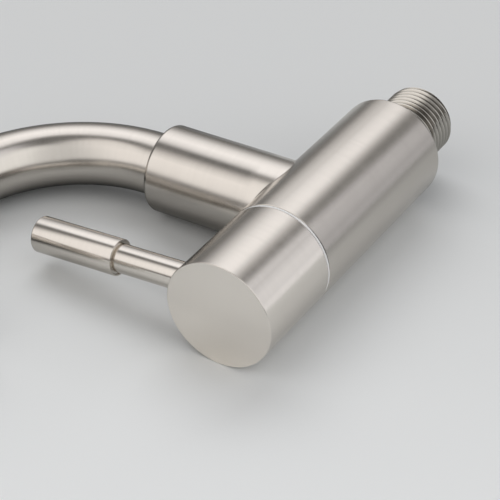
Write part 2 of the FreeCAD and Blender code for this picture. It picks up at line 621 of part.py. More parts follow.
def make_aerator_shell():
    """Threaded shell of the aerator, with key slots in its lip."""
    top = WASHER_TOP - AERATOR_WASHER_T
    bore, outer = AERATOR_BORE_D / 2, AERATOR_D / 2
    ledge = bore - AERATOR_LEDGE
    shell = lathe([(0, ledge), (0, COLLAR_D / 2), (AERATOR_LIP, COLLAR_D / 2), (AERATOR_LIP, outer),
                   (top, outer), (top, bore), (AERATOR_LIP, bore), (AERATOR_LIP, ledge)],
                  OUTLET_BASE, OUTLET_IN)
    shell = chamfered(shell, COLLAR_EDGE, OUTLET_BASE, OUTLET_IN, 0, COLLAR_D)
    for i in range(AERATOR_SLOTS):
        slot = Part.makeBox(COLLAR_D, AERATOR_SLOT_W, AERATOR_LIP / 2, Vector(0, -AERATOR_SLOT_W / 2, 0))
        slot.rotate(ORIGIN, UP, 45 + 360 * i / AERATOR_SLOTS)
        slot.Placement = FreeCAD.Placement(OUTLET_BASE, OUTLET_TURN).multiply(slot.Placement)
        shell = shell.cut(slot)
    return shell


def make_aerator_screen():
    """Round wire-cloth screen on the shell's ledge, modelled as a thin plate."""
    return rod(AERATOR_LIP, AERATOR_LIP + SCREEN_T, AERATOR_BORE_D - 2 * PRESS_FIT, OUTLET_BASE, OUTLET_IN)


def make_aerator_insert():
    """Plastic jet plate above the screen, with a ring of holes."""
    base = AERATOR_LIP + SCREEN_T
    insert = rod(base, base + INSERT_T, AERATOR_BORE_D - 2 * PRESS_FIT, OUTLET_BASE, OUTLET_IN)
    for i in range(INSERT_HOLES):
        angle = 2 * math.pi * i / INSERT_HOLES
        arm = OUTLET_TURN.multVec(Vector(math.cos(angle), math.sin(angle), 0))
        place = OUTLET_BASE + arm * (INSERT_PCD / 2)
        insert = insert.cut(rod(base, base + INSERT_T, INSERT_HOLE_D, place, OUTLET_IN))
    return insert


def make_aerator_washer():
    """Rubber washer between the aerator and the collar's step."""
    return tube(WASHER_TOP - AERATOR_WASHER_T, WASHER_TOP, TUBE_D - 2 * TUBE_WALL, AERATOR_D,
                OUTLET_BASE, OUTLET_IN)


PIECES = {
    "tap_body": make_tap_body,
    "inlet_nipple": make_inlet_nipple,
    "slip_ring": make_slip_ring,
    "seat_washer": make_seat_washer,
    "headwork_housing": make_headwork_housing,
    "headwork_o_ring": make_headwork_o_ring,
    "fixed_disc": make_fixed_disc,
    "moving_disc": make_moving_disc,
    "spindle": make_spindle,
    "thrust_washer": make_thrust_washer,
    "spindle_o_rings": make_spindle_o_rings,
    "spindle_clip": make_spindle_clip,
    "spline_bush": make_spline_bush,
    "handle_cap": make_handle_cap,
    "handle_set_screw": make_handle_set_screw,
    "lever_rod": make_lever_rod,
    "lever_grip": make_lever_grip,
    "spout_tube": make_spout_tube,
    "spout_spigot": make_spout_spigot,
    "spout_slide_ring": make_spout_slide_ring,
    "spout_o_rings": make_spout_o_rings,
    "spout_bearing_ring": make_spout_bearing_ring,
    "spout_lock_screw": make_spout_lock_screw,
    "outlet_collar": make_outlet_collar,
    "aerator_shell": make_aerator_shell,
    "aerator_screen": make_aerator_screen,
    "aerator_insert": make_aerator_insert,
    "aerator_washer": make_aerator_washer,
}


def main():
    """Build every piece and write it to its own file."""
    os.makedirs("parts", exist_ok=True)
    for name, make in PIECES.items():
        shape = make()
        shape.exportStep(os.path.join("parts", name + ".step"))
        print(name, "solids", len(shape.Solids), "valid", shape.isValid(), "volume", round(shape.Volume, 1))


if __name__ == "__main__":
    main()
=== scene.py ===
"""Looks of the cold water tap: brushed steel body, pin-lever handle and swan-neck spout.

Lengths in the classes are millimetres, apart from the depths of grooves, marks and pits, which are metres.
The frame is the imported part's: the origin is the centre of the barrel's rear face, +Y runs into the wall,
-Y to the user, +Z up along the branch, +X to the user's right.
The tap lies on its left side on a pale surface, so the surface is a plane that faces +X.
"""

import logging
import math
from contextlib import contextmanager
from dataclasses import dataclass, field
from enum import Enum
from typing import Callable, Iterable, Iterator, Optional, Sequence

import bmesh
import bpy
import numpy as np
from mathutils import Matrix, Vector


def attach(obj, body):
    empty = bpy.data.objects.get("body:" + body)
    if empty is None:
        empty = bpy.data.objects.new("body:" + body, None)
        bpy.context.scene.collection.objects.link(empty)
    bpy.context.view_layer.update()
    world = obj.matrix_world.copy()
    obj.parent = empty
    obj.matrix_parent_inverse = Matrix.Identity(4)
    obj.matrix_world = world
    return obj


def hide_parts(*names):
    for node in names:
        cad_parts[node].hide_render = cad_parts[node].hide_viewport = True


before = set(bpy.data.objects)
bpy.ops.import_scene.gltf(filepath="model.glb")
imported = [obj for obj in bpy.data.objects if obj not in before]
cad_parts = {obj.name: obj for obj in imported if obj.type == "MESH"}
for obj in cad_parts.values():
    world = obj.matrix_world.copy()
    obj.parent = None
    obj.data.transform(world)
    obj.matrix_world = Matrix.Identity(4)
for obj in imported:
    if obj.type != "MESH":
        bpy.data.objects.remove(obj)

MM = 0.001
log = logging.getLogger("tap")

Point = tuple[float, float]
Triple = tuple[float, float, float]
Stops = tuple[Point, ...]
Piece = bpy.types.Object
Socket = bpy.types.NodeSocket
NormalRule = Callable[[np.ndarray, np.ndarray, np.ndarray], tuple[np.ndarray, np.ndarray]]

# Points nearer than this are merged, and a plane cuts a mesh this exactly, both in metres
MERGE = 2e-6
CUT = 1e-7
# How near a face lies to a cylinder or the weld, in mm, and how well aligned it is, to take its normals
ON_CYLINDER = 0.02
ON_WELD = 0.03
ALIGNED = 0.995
# Keeps a division away from zero
TINY = 1e-9
# How far a cutter reaches past the face that it opens, and the play round a fitted piece
OVERCUT = 1.0
PLAY = 0.02

# Where branch, lock screw and lever stand on the barrel, and how the spout is bent
BRANCH_DEPTH = 40.5
LOCK_HEIGHT = 35.4
LEVER_DEPTH = 81.3
LEVER_LEAN = math.radians(-2.8)
BEND_HEIGHT = 53.5
BEND_RADIUS = 43.3
BEND_ANGLE = math.radians(150.0)
BEND_SINE, BEND_COSINE = math.sin(BEND_ANGLE), math.cos(BEND_ANGLE)
SPOUT_LEG = 18.0
OUTLET_DEPTH = BRANCH_DEPTH + BEND_RADIUS * (1 - BEND_COSINE) + SPOUT_LEG * BEND_SINE
OUTLET_HEIGHT = BEND_HEIGHT + BEND_RADIUS * BEND_SINE + SPOUT_LEG * BEND_COSINE


class Axis(Enum):
    """The axes that the tap's pieces are turned about: base point in mm and direction."""

    BARREL = ((0.0, 0.0, 0.0), (0.0, -1.0, 0.0))
    INLET = ((0.0, 0.0, 0.0), (0.0, 1.0, 0.0))
    BRANCH = ((0.0, -BRANCH_DEPTH, 0.0), (0.0, 0.0, 1.0))
    LOCK = ((0.0, -BRANCH_DEPTH, LOCK_HEIGHT), (0.0, 1.0, 0.0))
    LEVER = ((0.0, -LEVER_DEPTH, 0.0), (math.sin(LEVER_LEAN), 0.0, math.cos(LEVER_LEAN)))
    OUTLET = ((0.0, -OUTLET_DEPTH, OUTLET_HEIGHT), (0.0, BEND_SINE, -BEND_COSINE))

    def base(self) -> Vector:
        """Base point, in metres."""
        return Vector(self.value[0]) * MM

    def direction(self) -> Vector:
        """Unit vector along the axis."""
        return Vector(self.value[1])

    def placing(self, along: float = 0.0) -> Matrix:
        """Matrix that puts a piece turned about Z onto this axis, so many mm along it."""
        turn = self.direction().to_track_quat("Z", "X").to_matrix().to_4x4()
        return Matrix.Translation(self.base() + self.direction() * (along * MM)) @ turn


class Boolean(Enum):
    """What a Boolean does with its second object."""

    CUT = "DIFFERENCE"
    JOIN = "UNION"
    KEEP_COMMON = "INTERSECT"


# Modelling helpers


def clear_selection() -> None:
    """Leaves edit mode and deselects every object."""
    if bpy.context.object is not None and bpy.context.object.mode != "OBJECT":
        bpy.ops.object.mode_set(mode="OBJECT")
    bpy.ops.object.select_all(action="DESELECT")


def focus(obj: Piece) -> None:
    """Makes one object the only selected and the active one."""
    clear_selection()
    obj.select_set(True)
    bpy.context.view_layer.objects.active = obj


def added(primitive: Callable[..., object], name: str, **settings: object) -> Piece:
    """Adds a primitive mesh.

    Args:
        primitive: the operator that adds it.
        name: name of the object and its mesh.
        **settings: the primitive's settings.

    Returns:
        The new object.
    """
    clear_selection()
    primitive(**settings)
    obj = bpy.context.object
    obj.name = obj.data.name = name
    return obj


@contextmanager
def editing(obj: Piece, kind: str = "VERT") -> Iterator[None]:
    """Edit mode on one object with all of its mesh selected, and object mode after it.

    Args:
        obj: the object.
        kind: what is selected, VERT or EDGE.
    """
    focus(obj)
    bpy.ops.object.mode_set(mode="EDIT")
    bpy.ops.mesh.select_mode(type=kind)
    bpy.ops.mesh.select_all(action="SELECT")
    yield
    bpy.ops.object.mode_set(mode="OBJECT")


def apply_modifier(obj: Piece, kind: str, **settings: object) -> None:
    """Adds a modifier and applies it.

    Args:
        obj: the object.
        kind: the modifier's type.
        **settings: its properties.
    """
    focus(obj)
    modifier = obj.modifiers.new(kind.lower(), kind)
    for key, value in settings.items():
        setattr(modifier, key, value)
    bpy.ops.object.modifier_apply(modifier=modifier.name)


def settle(obj: Piece, placing: Matrix) -> None:
    """Puts an object in its place and leaves that place in the mesh."""
    obj.matrix_world = placing
    focus(obj)
    bpy.ops.object.transform_apply(location=True, rotation=True, scale=True)


def soften(obj: Piece, angle: float = 28.0) -> None:
    """Shades an object smooth, but keeps edges sharper than the angle, in degrees, crisp."""
    focus(obj)
    bpy.ops.object.shade_smooth_by_angle(angle=math.radians(angle))


def tidy_mesh(obj: Piece) -> None:
    """Merges doubles and turns all faces outwards."""
    with editing(obj):
        bpy.ops.mesh.remove_doubles(threshold=MERGE)
        bpy.ops.mesh.normals_make_consistent(inside=False)


@dataclass(frozen=True)
class Corner:
    """One corner of an outline that is turned about an axis."""

    along: float
    radius: float
    round: float = 0.0
    steps: int = 5


def outline_points(corners: Sequence[Corner]) -> list[Point]:
    """Closed outline with its corners rounded.

    Args:
        corners: the corners in order, in mm.

    Returns:
        Points as (distance along the axis, radius), in mm.
    """
    points: list[Point] = []
    for i, corner in enumerate(corners):
        here = Vector((corner.along, corner.radius))
        if corner.round <= 0:
            points.append((here.x, here.y))
            continue
        before, after = corners[i - 1], corners[(i + 1) % len(corners)]
        a = (Vector((before.along, before.radius)) - here).normalized()
        b = (Vector((after.along, after.radius)) - here).normalized()
        half = a.angle(b) / 2
        start = here + a * (corner.round / math.tan(half))
        end = here + b * (corner.round / math.tan(half))
        centre = here + (a + b).normalized() * (corner.round / math.sin(half))
        for step in range(corner.steps + 1):
            arm = (start - centre).slerp(end - centre, step / corner.steps).normalized() * corner.round
            points.append(((centre + arm).x, (centre + arm).y))
    return points


def drawn(name: str, points: Sequence[Point]) -> Piece:
    """A line drawn in the XZ plane.

    Args:
        name: the piece's name.
        points: distance along Z and distance from it, in mm.

    Returns:
        The new object.
    """
    obj = added(bpy.ops.mesh.primitive_plane_add, name, size=MM)
    with editing(obj):
        bpy.ops.mesh.merge(type="CENTER")
        along, radius = points[0]
        bpy.ops.transform.translate(value=(radius * MM, 0, along * MM))
        for (a0, r0), (a1, r1) in zip(points, points[1:]):
            move = ((r1 - r0) * MM, 0, (a1 - a0) * MM)
            bpy.ops.mesh.extrude_region_move(TRANSFORM_OT_translate={"value": move})
    return obj


def turned(name: str, corners: Sequence[Corner], axis: Axis, steps: int = 128) -> Piece:
    """A solid turned about one of the tap's axes.

    Args:
        name: the piece's name.
        corners: its closed outline, in mm.
        axis: the axis it is turned about.
        steps: faces round the axis.

    Returns:
        The new object, placed in its mesh.
    """
    points = outline_points(corners)
    obj = drawn(name, points + points[:1])
    with editing(obj):
        bpy.ops.mesh.remove_doubles(threshold=MERGE)
        bpy.ops.mesh.spin(steps=steps, angle=2 * math.pi, center=(0, 0, 0), axis=(0, 0, 1))
        bpy.ops.mesh.select_all(action="SELECT")
        bpy.ops.mesh.remove_doubles(threshold=MERGE)
        bpy.ops.mesh.delete_loose(use_verts=True, use_edges=True, use_faces=False)
    tidy_mesh(obj)
    settle(obj, axis.placing())
    soften(obj)
    return obj


def combine(obj: Piece, tool: Piece, operation: Boolean) -> None:
    """Applies a Boolean with another object and removes that object."""
    apply_modifier(obj, "BOOLEAN", operation=operation.value, solver="EXACT", object=tool)
    bpy.data.objects.remove(tool)


def rod(start: float, end: float, radius: float, axis: Axis, sides: int = 96) -> Piece:
    """A round bar to cut with or to add.

    Args:
        start: where it starts on its axis, in mm.
        end: where it ends, in mm.
        radius: its radius, in mm.
        axis: its axis.
        sides: faces round it.

    Returns:
        The bar, placed in its mesh.
    """
    obj = added(bpy.ops.mesh.primitive_cylinder_add, "rod", vertices=sides, radius=radius * MM,
                depth=(end - start) * MM)
    settle(obj, axis.placing((start + end) / 2))
    return obj


def mesh_array(items: Sequence, name: str, width: int = 3, kind: type = float) -> np.ndarray:
    """A property of all vertices, corners or faces of a mesh.

    Args:
        items: the vertices, corners or faces.
        name: the property.
        width: numbers for each item.
        kind: float or int.

    Returns:
        One row for each item.
    """
    values = np.empty(len(items) * width, kind)
    items.foreach_get(name, values)
    return values.reshape(-1, width)


def true_normals(obj: Piece, rules: Iterable[NormalRule]) -> None:
    """Gives faces on known curved surfaces the surface's own normals, so cuts leave no mark in the shading.

    Args:
        obj: the piece, already shaded smooth by angle.
        rules: each takes corner points, face centres and face normals, and returns which corners lie on its
            surface and their normals.
    """
    mesh = obj.data
    vertex = mesh_array(mesh.loops, "vertex_index", 1, int)[:, 0]
    points = mesh_array(mesh.vertices, "co")[vertex] / MM
    normals = mesh_array(mesh.corner_normals, "vector")
    sizes = mesh_array(mesh.polygons, "loop_total", 1, int)[:, 0]
    owner = np.repeat(np.arange(len(sizes)), sizes)
    centres = mesh_array(mesh.polygons, "center")[owner] / MM
    faces = mesh_array(mesh.polygons, "normal")[owner]
    for rule in rules:
        on, exact = rule(points, centres, faces)
        normals[on] = exact[on]
    mesh.normals_split_custom_set(normals)


def on_cylinder(axis: Axis, radius: float) -> NormalRule:
    """Rule for faces that lie on a cylinder about one of the tap's axes."""
    base, direction = np.array(axis.value[0]), np.array(axis.value[1])

    def rule(points: np.ndarray, centres: np.ndarray, faces: np.ndarray) -> tuple[np.ndarray, np.ndarray]:
        """Radial normals for the corners of such faces."""
        arm = points - base
        arm = arm - (arm @ direction)[:, None] * direction
        reach = np.linalg.norm(arm, axis=1)
        exact = arm / np.maximum(reach, TINY)[:, None]
        return (np.abs(reach - radius) < ON_CYLINDER) & ((exact * faces).sum(1) > ALIGNED), exact

    return rule


# Shader helpers


class Nodes:
    """Adds and joins the nodes of one tree."""

    def __init__(self, tree: bpy.types.NodeTree) -> None:
        """Takes the tree to work on."""
        self.tree = tree

    def feed(self, node: bpy.types.Node, inputs: dict) -> None:
        """Sets values on a node's inputs, by name or number, and links sockets to them."""
        for key, value in inputs.items():
            if isinstance(value, Socket):
                self.tree.links.new(value, node.inputs[key])
            else:
                node.inputs[key].default_value = value

    def add(self, kind: str, inputs: Optional[dict] = None, **settings: object) -> bpy.types.Node:
        """Adds a node.

        Args:
            kind: its type, without the leading ShaderNode.
            inputs: values or sockets for its inputs, by name or number.
            **settings: its other properties.

        Returns:
            The node.
        """
        node = self.tree.nodes.new("ShaderNode" + kind)
        for key, value in settings.items():
            setattr(node, key, value)
        self.feed(node, inputs or {})
        return node

    def math(self, operation: str, a: object, b: object = 0.0) -> Socket:
        """Result of a Math node."""
        return self.add("Math", {0: a, 1: b}, operation=operation).outputs[0]

    def times(self, a: object, b: object) -> Socket:
        """Product of two values."""
        return self.math("MULTIPLY", a, b)

    def scaled(self, vector: object, factor: object) -> Socket:
        """A vector or colour multiplied by one value."""
        return self.add("VectorMath", {0: vector, 3: factor}, operation="SCALE").outputs[0]

    def toward(self, vector: object, direction: Triple) -> Socket:
        """How far a vector reaches in a direction."""
        return self.add("VectorMath", {0: vector, 1: direction}, operation="DOT_PRODUCT").outputs["Value"]

    def blend(self, share: object, a: object, b: object) -> Socket:
        """Colour between a and b."""
        a, b = ((*colour, 1.0) if isinstance(colour, tuple) else colour for colour in (a, b))
        return self.add("Mix", {0: share, 6: a, 7: b}, data_type="RGBA").outputs[2]

    def ranged(self, value: object, ends: Point = (0.0, 1.0), low: object = 0.0, high: object = 1.0,
               **settings: object) -> Socket:
        """A value between two ends spread between low and high, and held there past the ends."""
        inputs = {0: value, 1: ends[0], 2: ends[1], 3: low, 4: high}
        return self.add("MapRange", inputs, **settings).outputs[0]

    def placed(self, place: object, ends: Point, low: object = 0.0, high: object = 1.0) -> Socket:
        """A place in metres between two ends in mm spread between low and high."""
        return self.ranged(place, (ends[0] * MM, ends[1] * MM), low, high)

    def stepped(self, place: object, stops: Stops) -> Socket:
        """Value that changes with a place.

        Args:
            place: the place, in metres.
            stops: places in mm, rising, with their values.

        Returns:
            The socket.
        """
        low, high = stops[0][0], stops[-1][0]
        ramp = self.add("ValToRGB", {0: self.placed(place, (low, high))})
        elements = ramp.color_ramp.elements
        while len(elements) < len(stops):
            elements.new(0.5)
        for element, (across, value) in zip(elements, stops):
            element.position = (across - low) / (high - low)
            element.color = (value, value, value, 1.0)
        return ramp.outputs[0]

    def noise(self, vector: object, scale: object, detail: float, roughness: float = 0.5,
              distortion: float = 0.0) -> Socket:
        """Result of a Noise Texture node."""
        return self.add("TexNoise", {"Vector": vector, "Scale": scale, "Detail": detail,
                                     "Roughness": roughness, "Distortion": distortion}).outputs[0]

    def group(self, tree: bpy.types.NodeTree, vector: object, **inputs: float) -> Sequence[Socket]:
        """Results of a node group."""
        return self.add("Group", {"Vector": vector, **inputs}, node_tree=tree).outputs

    def bump(self, height: object, depth: float) -> Socket:
        """Normal of a height, in units of the depth in metres."""
        return self.add("Bump", {"Height": height, "Strength": 1.0, "Distance": depth}).outputs[0]

    def off_barrel_axis(self, coordinates: object) -> Socket:
        """Distance from the barrel's axis."""
        parts = self.add("SeparateXYZ", {0: coordinates}).outputs
        flat = self.add("CombineXYZ", {0: parts[0], 2: parts[2]}).outputs[0]
        return self.add("VectorMath", {0: flat}, operation="LENGTH").outputs["Value"]

    def about(self, placing: Matrix, coordinates: object) -> Socket:
        """Coordinates in the space of a placed piece, where Z runs along its axis."""
        inputs = {"Vector": coordinates, "Location": tuple(placing.translation),
                  "Rotation": tuple(placing.to_euler("XYZ"))}
        return self.add("Mapping", inputs, vector_type="TEXTURE").outputs[0]


class SurfaceGroups:
    """The effects that several finishes share, each a group of nodes."""

    def __init__(self) -> None:
        """Builds the groups once."""
        self.brushing = self.grouped("brushing", {"Fineness": 9000.0, "Reach": 90.0},
                                     ("Grooves", "Streaks"), self.brush_marks)
        self.handling = self.grouped("handling", {"Scale": 60.0}, ("Patches",), self.patches)
        self.mottle = self.grouped("mottle", {"Scale": 900.0}, ("Tone", "Pits"), self.unevenness)

    @staticmethod
    def grouped(name: str, numbers: dict[str, float], results: Sequence[str],
                effect: Callable[..., Sequence[Socket]]) -> bpy.types.NodeTree:
        """A node group with a vector and some numbers as inputs.

        Args:
            name: its name.
            numbers: its number inputs with their default values.
            results: names of its outputs.
            effect: builds its nodes from the input sockets and returns the output sockets.

        Returns:
            The group.
        """
        tree = bpy.data.node_groups.new(name, "ShaderNodeTree")
        tree.interface.new_socket("Vector", in_out="INPUT", socket_type="NodeSocketVector")
        for label, default in numbers.items():
            socket = tree.interface.new_socket(label, in_out="INPUT", socket_type="NodeSocketFloat")
            socket.default_value = default
        for label in results:
            tree.interface.new_socket(label, in_out="OUTPUT", socket_type="NodeSocketFloat")
        n = Nodes(tree)
        given = tree.nodes.new("NodeGroupInput").outputs[:len(numbers) + 1]
        n.feed(tree.nodes.new("NodeGroupOutput"), dict(enumerate(effect(n, *given))))
        return tree

    @staticmethod
    def brush_marks(n: Nodes, vector: Socket, fineness: Socket, reach: Socket) -> list[Socket]:
        """Fine grooves and wider streaks that an abrasive belt leaves round the Z axis."""
        x, y, z = n.add("SeparateXYZ", {0: vector}).outputs
        marks = []
        for slow, quick, roughness in ((1.0, 1.0, 0.6), (0.5, 0.14, 0.55)):
            round_it, along = n.times(reach, slow), n.times(fineness, quick)
            stretched = n.add("CombineXYZ", {0: n.times(x, round_it), 1: n.times(y, round_it),
                                             2: n.times(z, along)}).outputs[0]
            marks.append(n.noise(stretched, 1.0, 3.0, roughness))
        return marks

    @staticmethod
    def patches(n: Nodes, vector: Socket, scale: Socket) -> list[Socket]:
        """Soft uneven patches where a finish has been handled and wiped."""
        return [n.ranged(n.noise(vector, scale, 4.0, 0.6, 0.6), (0.3, 0.7))]

    @staticmethod
    def unevenness(n: Nodes, vector: Socket, scale: Socket) -> list[Socket]:
        """Fine even unevenness of moulded, cast and fired surfaces."""
        pits = n.add("TexVoronoi", {"Vector": vector, "Scale": scale}).outputs[0]
        return [n.noise(vector, scale, 3.0), pits]


@dataclass(frozen=True)
class Finish:
    """What a piece's surface is."""

    name: str

    def paint(self, n: Nodes, coordinates: Socket, groups: SurfaceGroups) -> dict[str, object]:
        """Builds the nodes of the surface.

        Args:
            n: the material's nodes.
            coordinates: the object coordinates.
            groups: the shared groups.

        Returns:
            Sockets and values for the shader's inputs.
        """
        raise NotImplementedError


@dataclass
class Palette:
    """Makes each finish once and hands it out."""

    groups: SurfaceGroups = field(default_factory=SurfaceGroups)
    made: dict[str, bpy.types.Material] = field(default_factory=dict)

    def get(self, finish: Finish) -> bpy.types.Material:
        """The material of a finish."""
        if finish.name not in self.made:
            material = bpy.data.materials.new(finish.name)
            material.use_nodes = True
            n = Nodes(material.node_tree)
            coordinates = n.add("TexCoord").outputs["Object"]
            n.feed(n.tree.nodes["Principled BSDF"], finish.paint(n, coordinates, self.groups))
            self.made[finish.name] = material
        return self.made[finish.name]


@dataclass(frozen=True)
class PaintedLightBand:
    """A side of a piece with painted light and shade on its colour, changing across X.

    The side is +1 for all that lies higher than the start, in mm along Z, and -1 for all that lies lower than
    minus the start. The stops are places across, in mm, with the factor on the colour there: below 1 is
    painted shade, above 1 painted highlight.
    """

    side: int
    start: float
    stops: Stops
    fade: float = 3.0


@dataclass(frozen=True)
class BrushedSteel(Finish):
    """Satin stainless steel, brushed round the axes that the piece was turned about."""

    axes: tuple[Axis, ...] = (Axis.BARREL,)
    straightened: str = ""
    face_depth: float = 0.0
    colour: Triple = (0.742, 0.703, 0.648)
    shade: Triple = (0.682, 0.639, 0.588)
    tone_range: float = 0.55
    patch_scale: float = 70.0
    patch_share: float = 0.3
    roughness: float = 0.19
    finer: float = 0.03
    rougher: float = 0.05
    handled: float = 0.03
    groove_depth: float = 2.4e-6
    branch_from: float = 15.75
    # Painted light and shade across X, one strip for each side
    painted_bands: tuple[PaintedLightBand, ...] = ()
    # Painted shade on the barrel's front end seat in the ring's recess, darkest from 4.5 to 11 mm across X
    seat_shade_depth: float = 0.0
    seat_shade_stops: Stops = ((0.0, 0.85), (4.5, 0.14), (11.0, 0.14), (13.2, 0.85))
    # Painted light on the front face, brighter towards -X
    face_painted_light: Stops = ((-15.0, 1.3), (-8.0, 1.13), (0.0, 1.0))

    def paint(self, n: Nodes, coordinates: Socket, groups: SurfaceGroups) -> dict[str, object]:
        """Grooves round each axis, soft streaks, handled patches, and painted light and shade across X."""
        grooves, streaks = self.brushed(n, coordinates, groups)
        patches = n.group(groups.handling, coordinates, Scale=self.patch_scale)[0]
        tone = n.math("ADD", n.times(streaks, 1.0 - self.patch_share), n.times(patches, self.patch_share))
        colour = n.blend(n.ranged(tone, high=self.tone_range), self.colour, self.shade)
        # Painted light and shade: the colour is scaled across X, on the front face and on the end seat
        if self.painted_bands:
            colour = n.scaled(colour, self.painted_light(n, coordinates))
        rough = n.ranged(streaks, low=self.roughness - self.finer, high=self.roughness + self.rougher)
        return {"Base Color": colour, "Roughness": n.math("ADD", rough, n.times(patches, self.handled)),
                "Metallic": 1.0, "Normal": n.bump(grooves, self.groove_depth)}

    def painted_light(self, n: Nodes, coordinates: Socket) -> object:
        """Painted light and shade of the surface: across X on its sides, painted light on its front face and
        painted shade on its end seat.

        Args:
            n: the material's nodes.
            coordinates: the object coordinates.

        Returns:
            The socket.
        """
        value: object = 1.0
        across, along, up = n.add("SeparateXYZ", {0: coordinates}).outputs
        # Painted light and shade across X on each side
        for painted_band in self.painted_bands:
            ends = (painted_band.side * painted_band.start, painted_band.side * (painted_band.start + painted_band.fade))
            value = n.times(value, n.ranged(n.placed(up, ends), low=1.0, high=n.stepped(across, painted_band.stops)))
        # Painted light on the front face and painted shade on the end seat
        for depth, stops in ((self.face_depth, self.face_painted_light), (self.seat_shade_depth, self.seat_shade_stops)):
            if depth:
                front = n.math("LESS_THAN", along, -depth * MM)
                value = n.ranged(front, low=value, high=n.stepped(across, stops))
        return value

    def brushed(self, n: Nodes, coordinates: Socket, groups: SurfaceGroups) -> Sequence[Socket]:
        """Grooves and streaks about the piece's axes, and straight ones on a front face.

        Args:
            n: the material's nodes.
            coordinates: the object coordinates.
            groups: the shared groups.

        Returns:
            The two sockets.
        """
        if self.straightened:
            vector = n.add("Attribute", attribute_name=self.straightened).outputs["Vector"]
            return n.group(groups.brushing, vector)
        marks, *others = [n.group(groups.brushing, n.about(axis.placing(), coordinates))
                          for axis in self.axes]
        shares = [n.math("GREATER_THAN", n.off_barrel_axis(coordinates), self.branch_from * MM)
                  for _ in others]
        if self.face_depth:
            along = n.add("SeparateXYZ", {0: coordinates}).outputs[1]
            shares.append(n.math("LESS_THAN", along, -self.face_depth * MM))
            others.append(n.group(groups.brushing, coordinates))
        for share, other in zip(shares, others):
            marks = [n.add("Mix", {0: share, 2: a, 3: b}).outputs[0] for a, b in zip(marks, other)]
        return marks


@dataclass(frozen=True)
class ThreadSteel(Finish):
    """Machined stainless thread, with painted shade in its roots."""

    crest: float = 10.48
    root: float = 9.3
    crest_colour: Triple = (0.76, 0.73, 0.67)
    painted_root_shade: Triple = (0.22, 0.205, 0.18)
    # Painted shade: darker on the -Z side and at the neck next to the barrel
    across: Stops = ((-7.5, 0.6), (-6.2, 0.42), (-4.6, 0.42), (-2.6, 1.0))
    painted_neck_shade: Stops = ((0.9, 0.25), (1.7, 1.0))
    fineness: float = 7000.0
    smoothest: float = 0.11
    roughest: float = 0.2
    mark_depth: float = 1.5e-6

    def paint(self, n: Nodes, coordinates: Socket, groups: SurfaceGroups) -> dict[str, object]:
        """Crests in the steel's colour, painted shade in the roots, on the -Z side and at the neck, and fine
        tool marks round the axis.
        """
        parts = n.add("SeparateXYZ", {0: coordinates}).outputs
        height = n.placed(n.off_barrel_axis(coordinates), (self.root, self.crest))
        marks, streaks = n.group(groups.brushing, n.about(Matrix.Rotation(math.pi / 2, 4, "X"), coordinates),
                                 Fineness=self.fineness)
        # Painted shade on the -Z side and at the neck
        share = n.times(n.stepped(parts[2], self.across), n.stepped(parts[1], self.painted_neck_shade))
        return {"Base Color": n.scaled(n.blend(height, self.painted_root_shade, self.crest_colour), share),
                "Roughness": n.ranged(streaks, low=self.smoothest, high=self.roughest),
                "Metallic": 1.0, "Normal": n.bump(marks, self.mark_depth)}


@dataclass(frozen=True)
class TurnedMetal(Finish):
    """Machined metal of the inner pieces."""

    axis: Axis = Axis.BARREL
    colour: Triple = (0.76, 0.60, 0.33)
    stain: Triple = (0.55, 0.40, 0.20)
    stain_share: float = 0.5
    stain_scale: float = 120.0
    fineness: float = 5000.0
    reach: float = 30.0
    smoothest: float = 0.22
    roughest: float = 0.36
    mark_depth: float = 4e-6

    def paint(self, n: Nodes, coordinates: Socket, groups: SurfaceGroups) -> dict[str, object]:
        """Tool marks round the axis and slight staining."""
        marks, streaks = n.group(groups.brushing, n.about(self.axis.placing(), coordinates),
                                 Fineness=self.fineness, Reach=self.reach)
        stained = n.times(n.group(groups.handling, coordinates, Scale=self.stain_scale)[0], self.stain_share)
        return {"Base Color": n.blend(stained, self.colour, self.stain),
                "Roughness": n.ranged(streaks, low=self.smoothest, high=self.roughest),
                "Metallic": 1.0, "Normal": n.bump(marks, self.mark_depth)}


@dataclass(frozen=True)
class Moulded(Finish):
    """Plastic, rubber or fired ceramic with an even fine surface."""

    colour: Triple
    shade: Triple
    roughness: float
    scale: float
    depth: float
    uneven: float = 0.06

    def paint(self, n: Nodes, coordinates: Socket, groups: SurfaceGroups) -> dict[str, object]:
        """Faint mottling in colour, gloss and height."""
        tone, pits = n.group(groups.mottle, coordinates, Scale=self.scale)
        rough = n.ranged(tone, low=self.roughness - self.uneven, high=self.roughness + self.uneven)
        return {"Base Color": n.blend(tone, self.colour, self.shade), "Roughness": rough,
                "Normal": n.bump(pits, self.depth)}


# Painted light and shade on the steel: each strip scales the colour across X, below 1 painted shade, above 1
# painted highlight
BARREL_LOWER_PAINTED_SHADE = PaintedLightBand(-1, 4.0, ((-10.0, 1.0), (-4.3, 0.8), (4.3, 0.74), (6.8, 0.52), (8.7, 0.5),
                                  (10.0, 0.58), (11.2, 0.64), (12.3, 0.76), (13.3, 1.0)))
BARREL_UPPER_PAINTED_HIGHLIGHT = PaintedLightBand(1, 0.5, ((12.6, 1.0), (13.4, 1.2), (14.5, 1.15), (15.1, 1.33)))
BRANCH_PAINTED_LIGHT_AND_SHADE = PaintedLightBand(1, 16.0, ((-9.0, 0.6), (-5.5, 0.55), (-2.5, 0.85), (0.5, 0.88), (1.8, 1.05),
                                 (3.2, 0.5), (5.0, 0.88), (9.0, 1.0), (11.4, 0.62), (12.4, 1.0)))
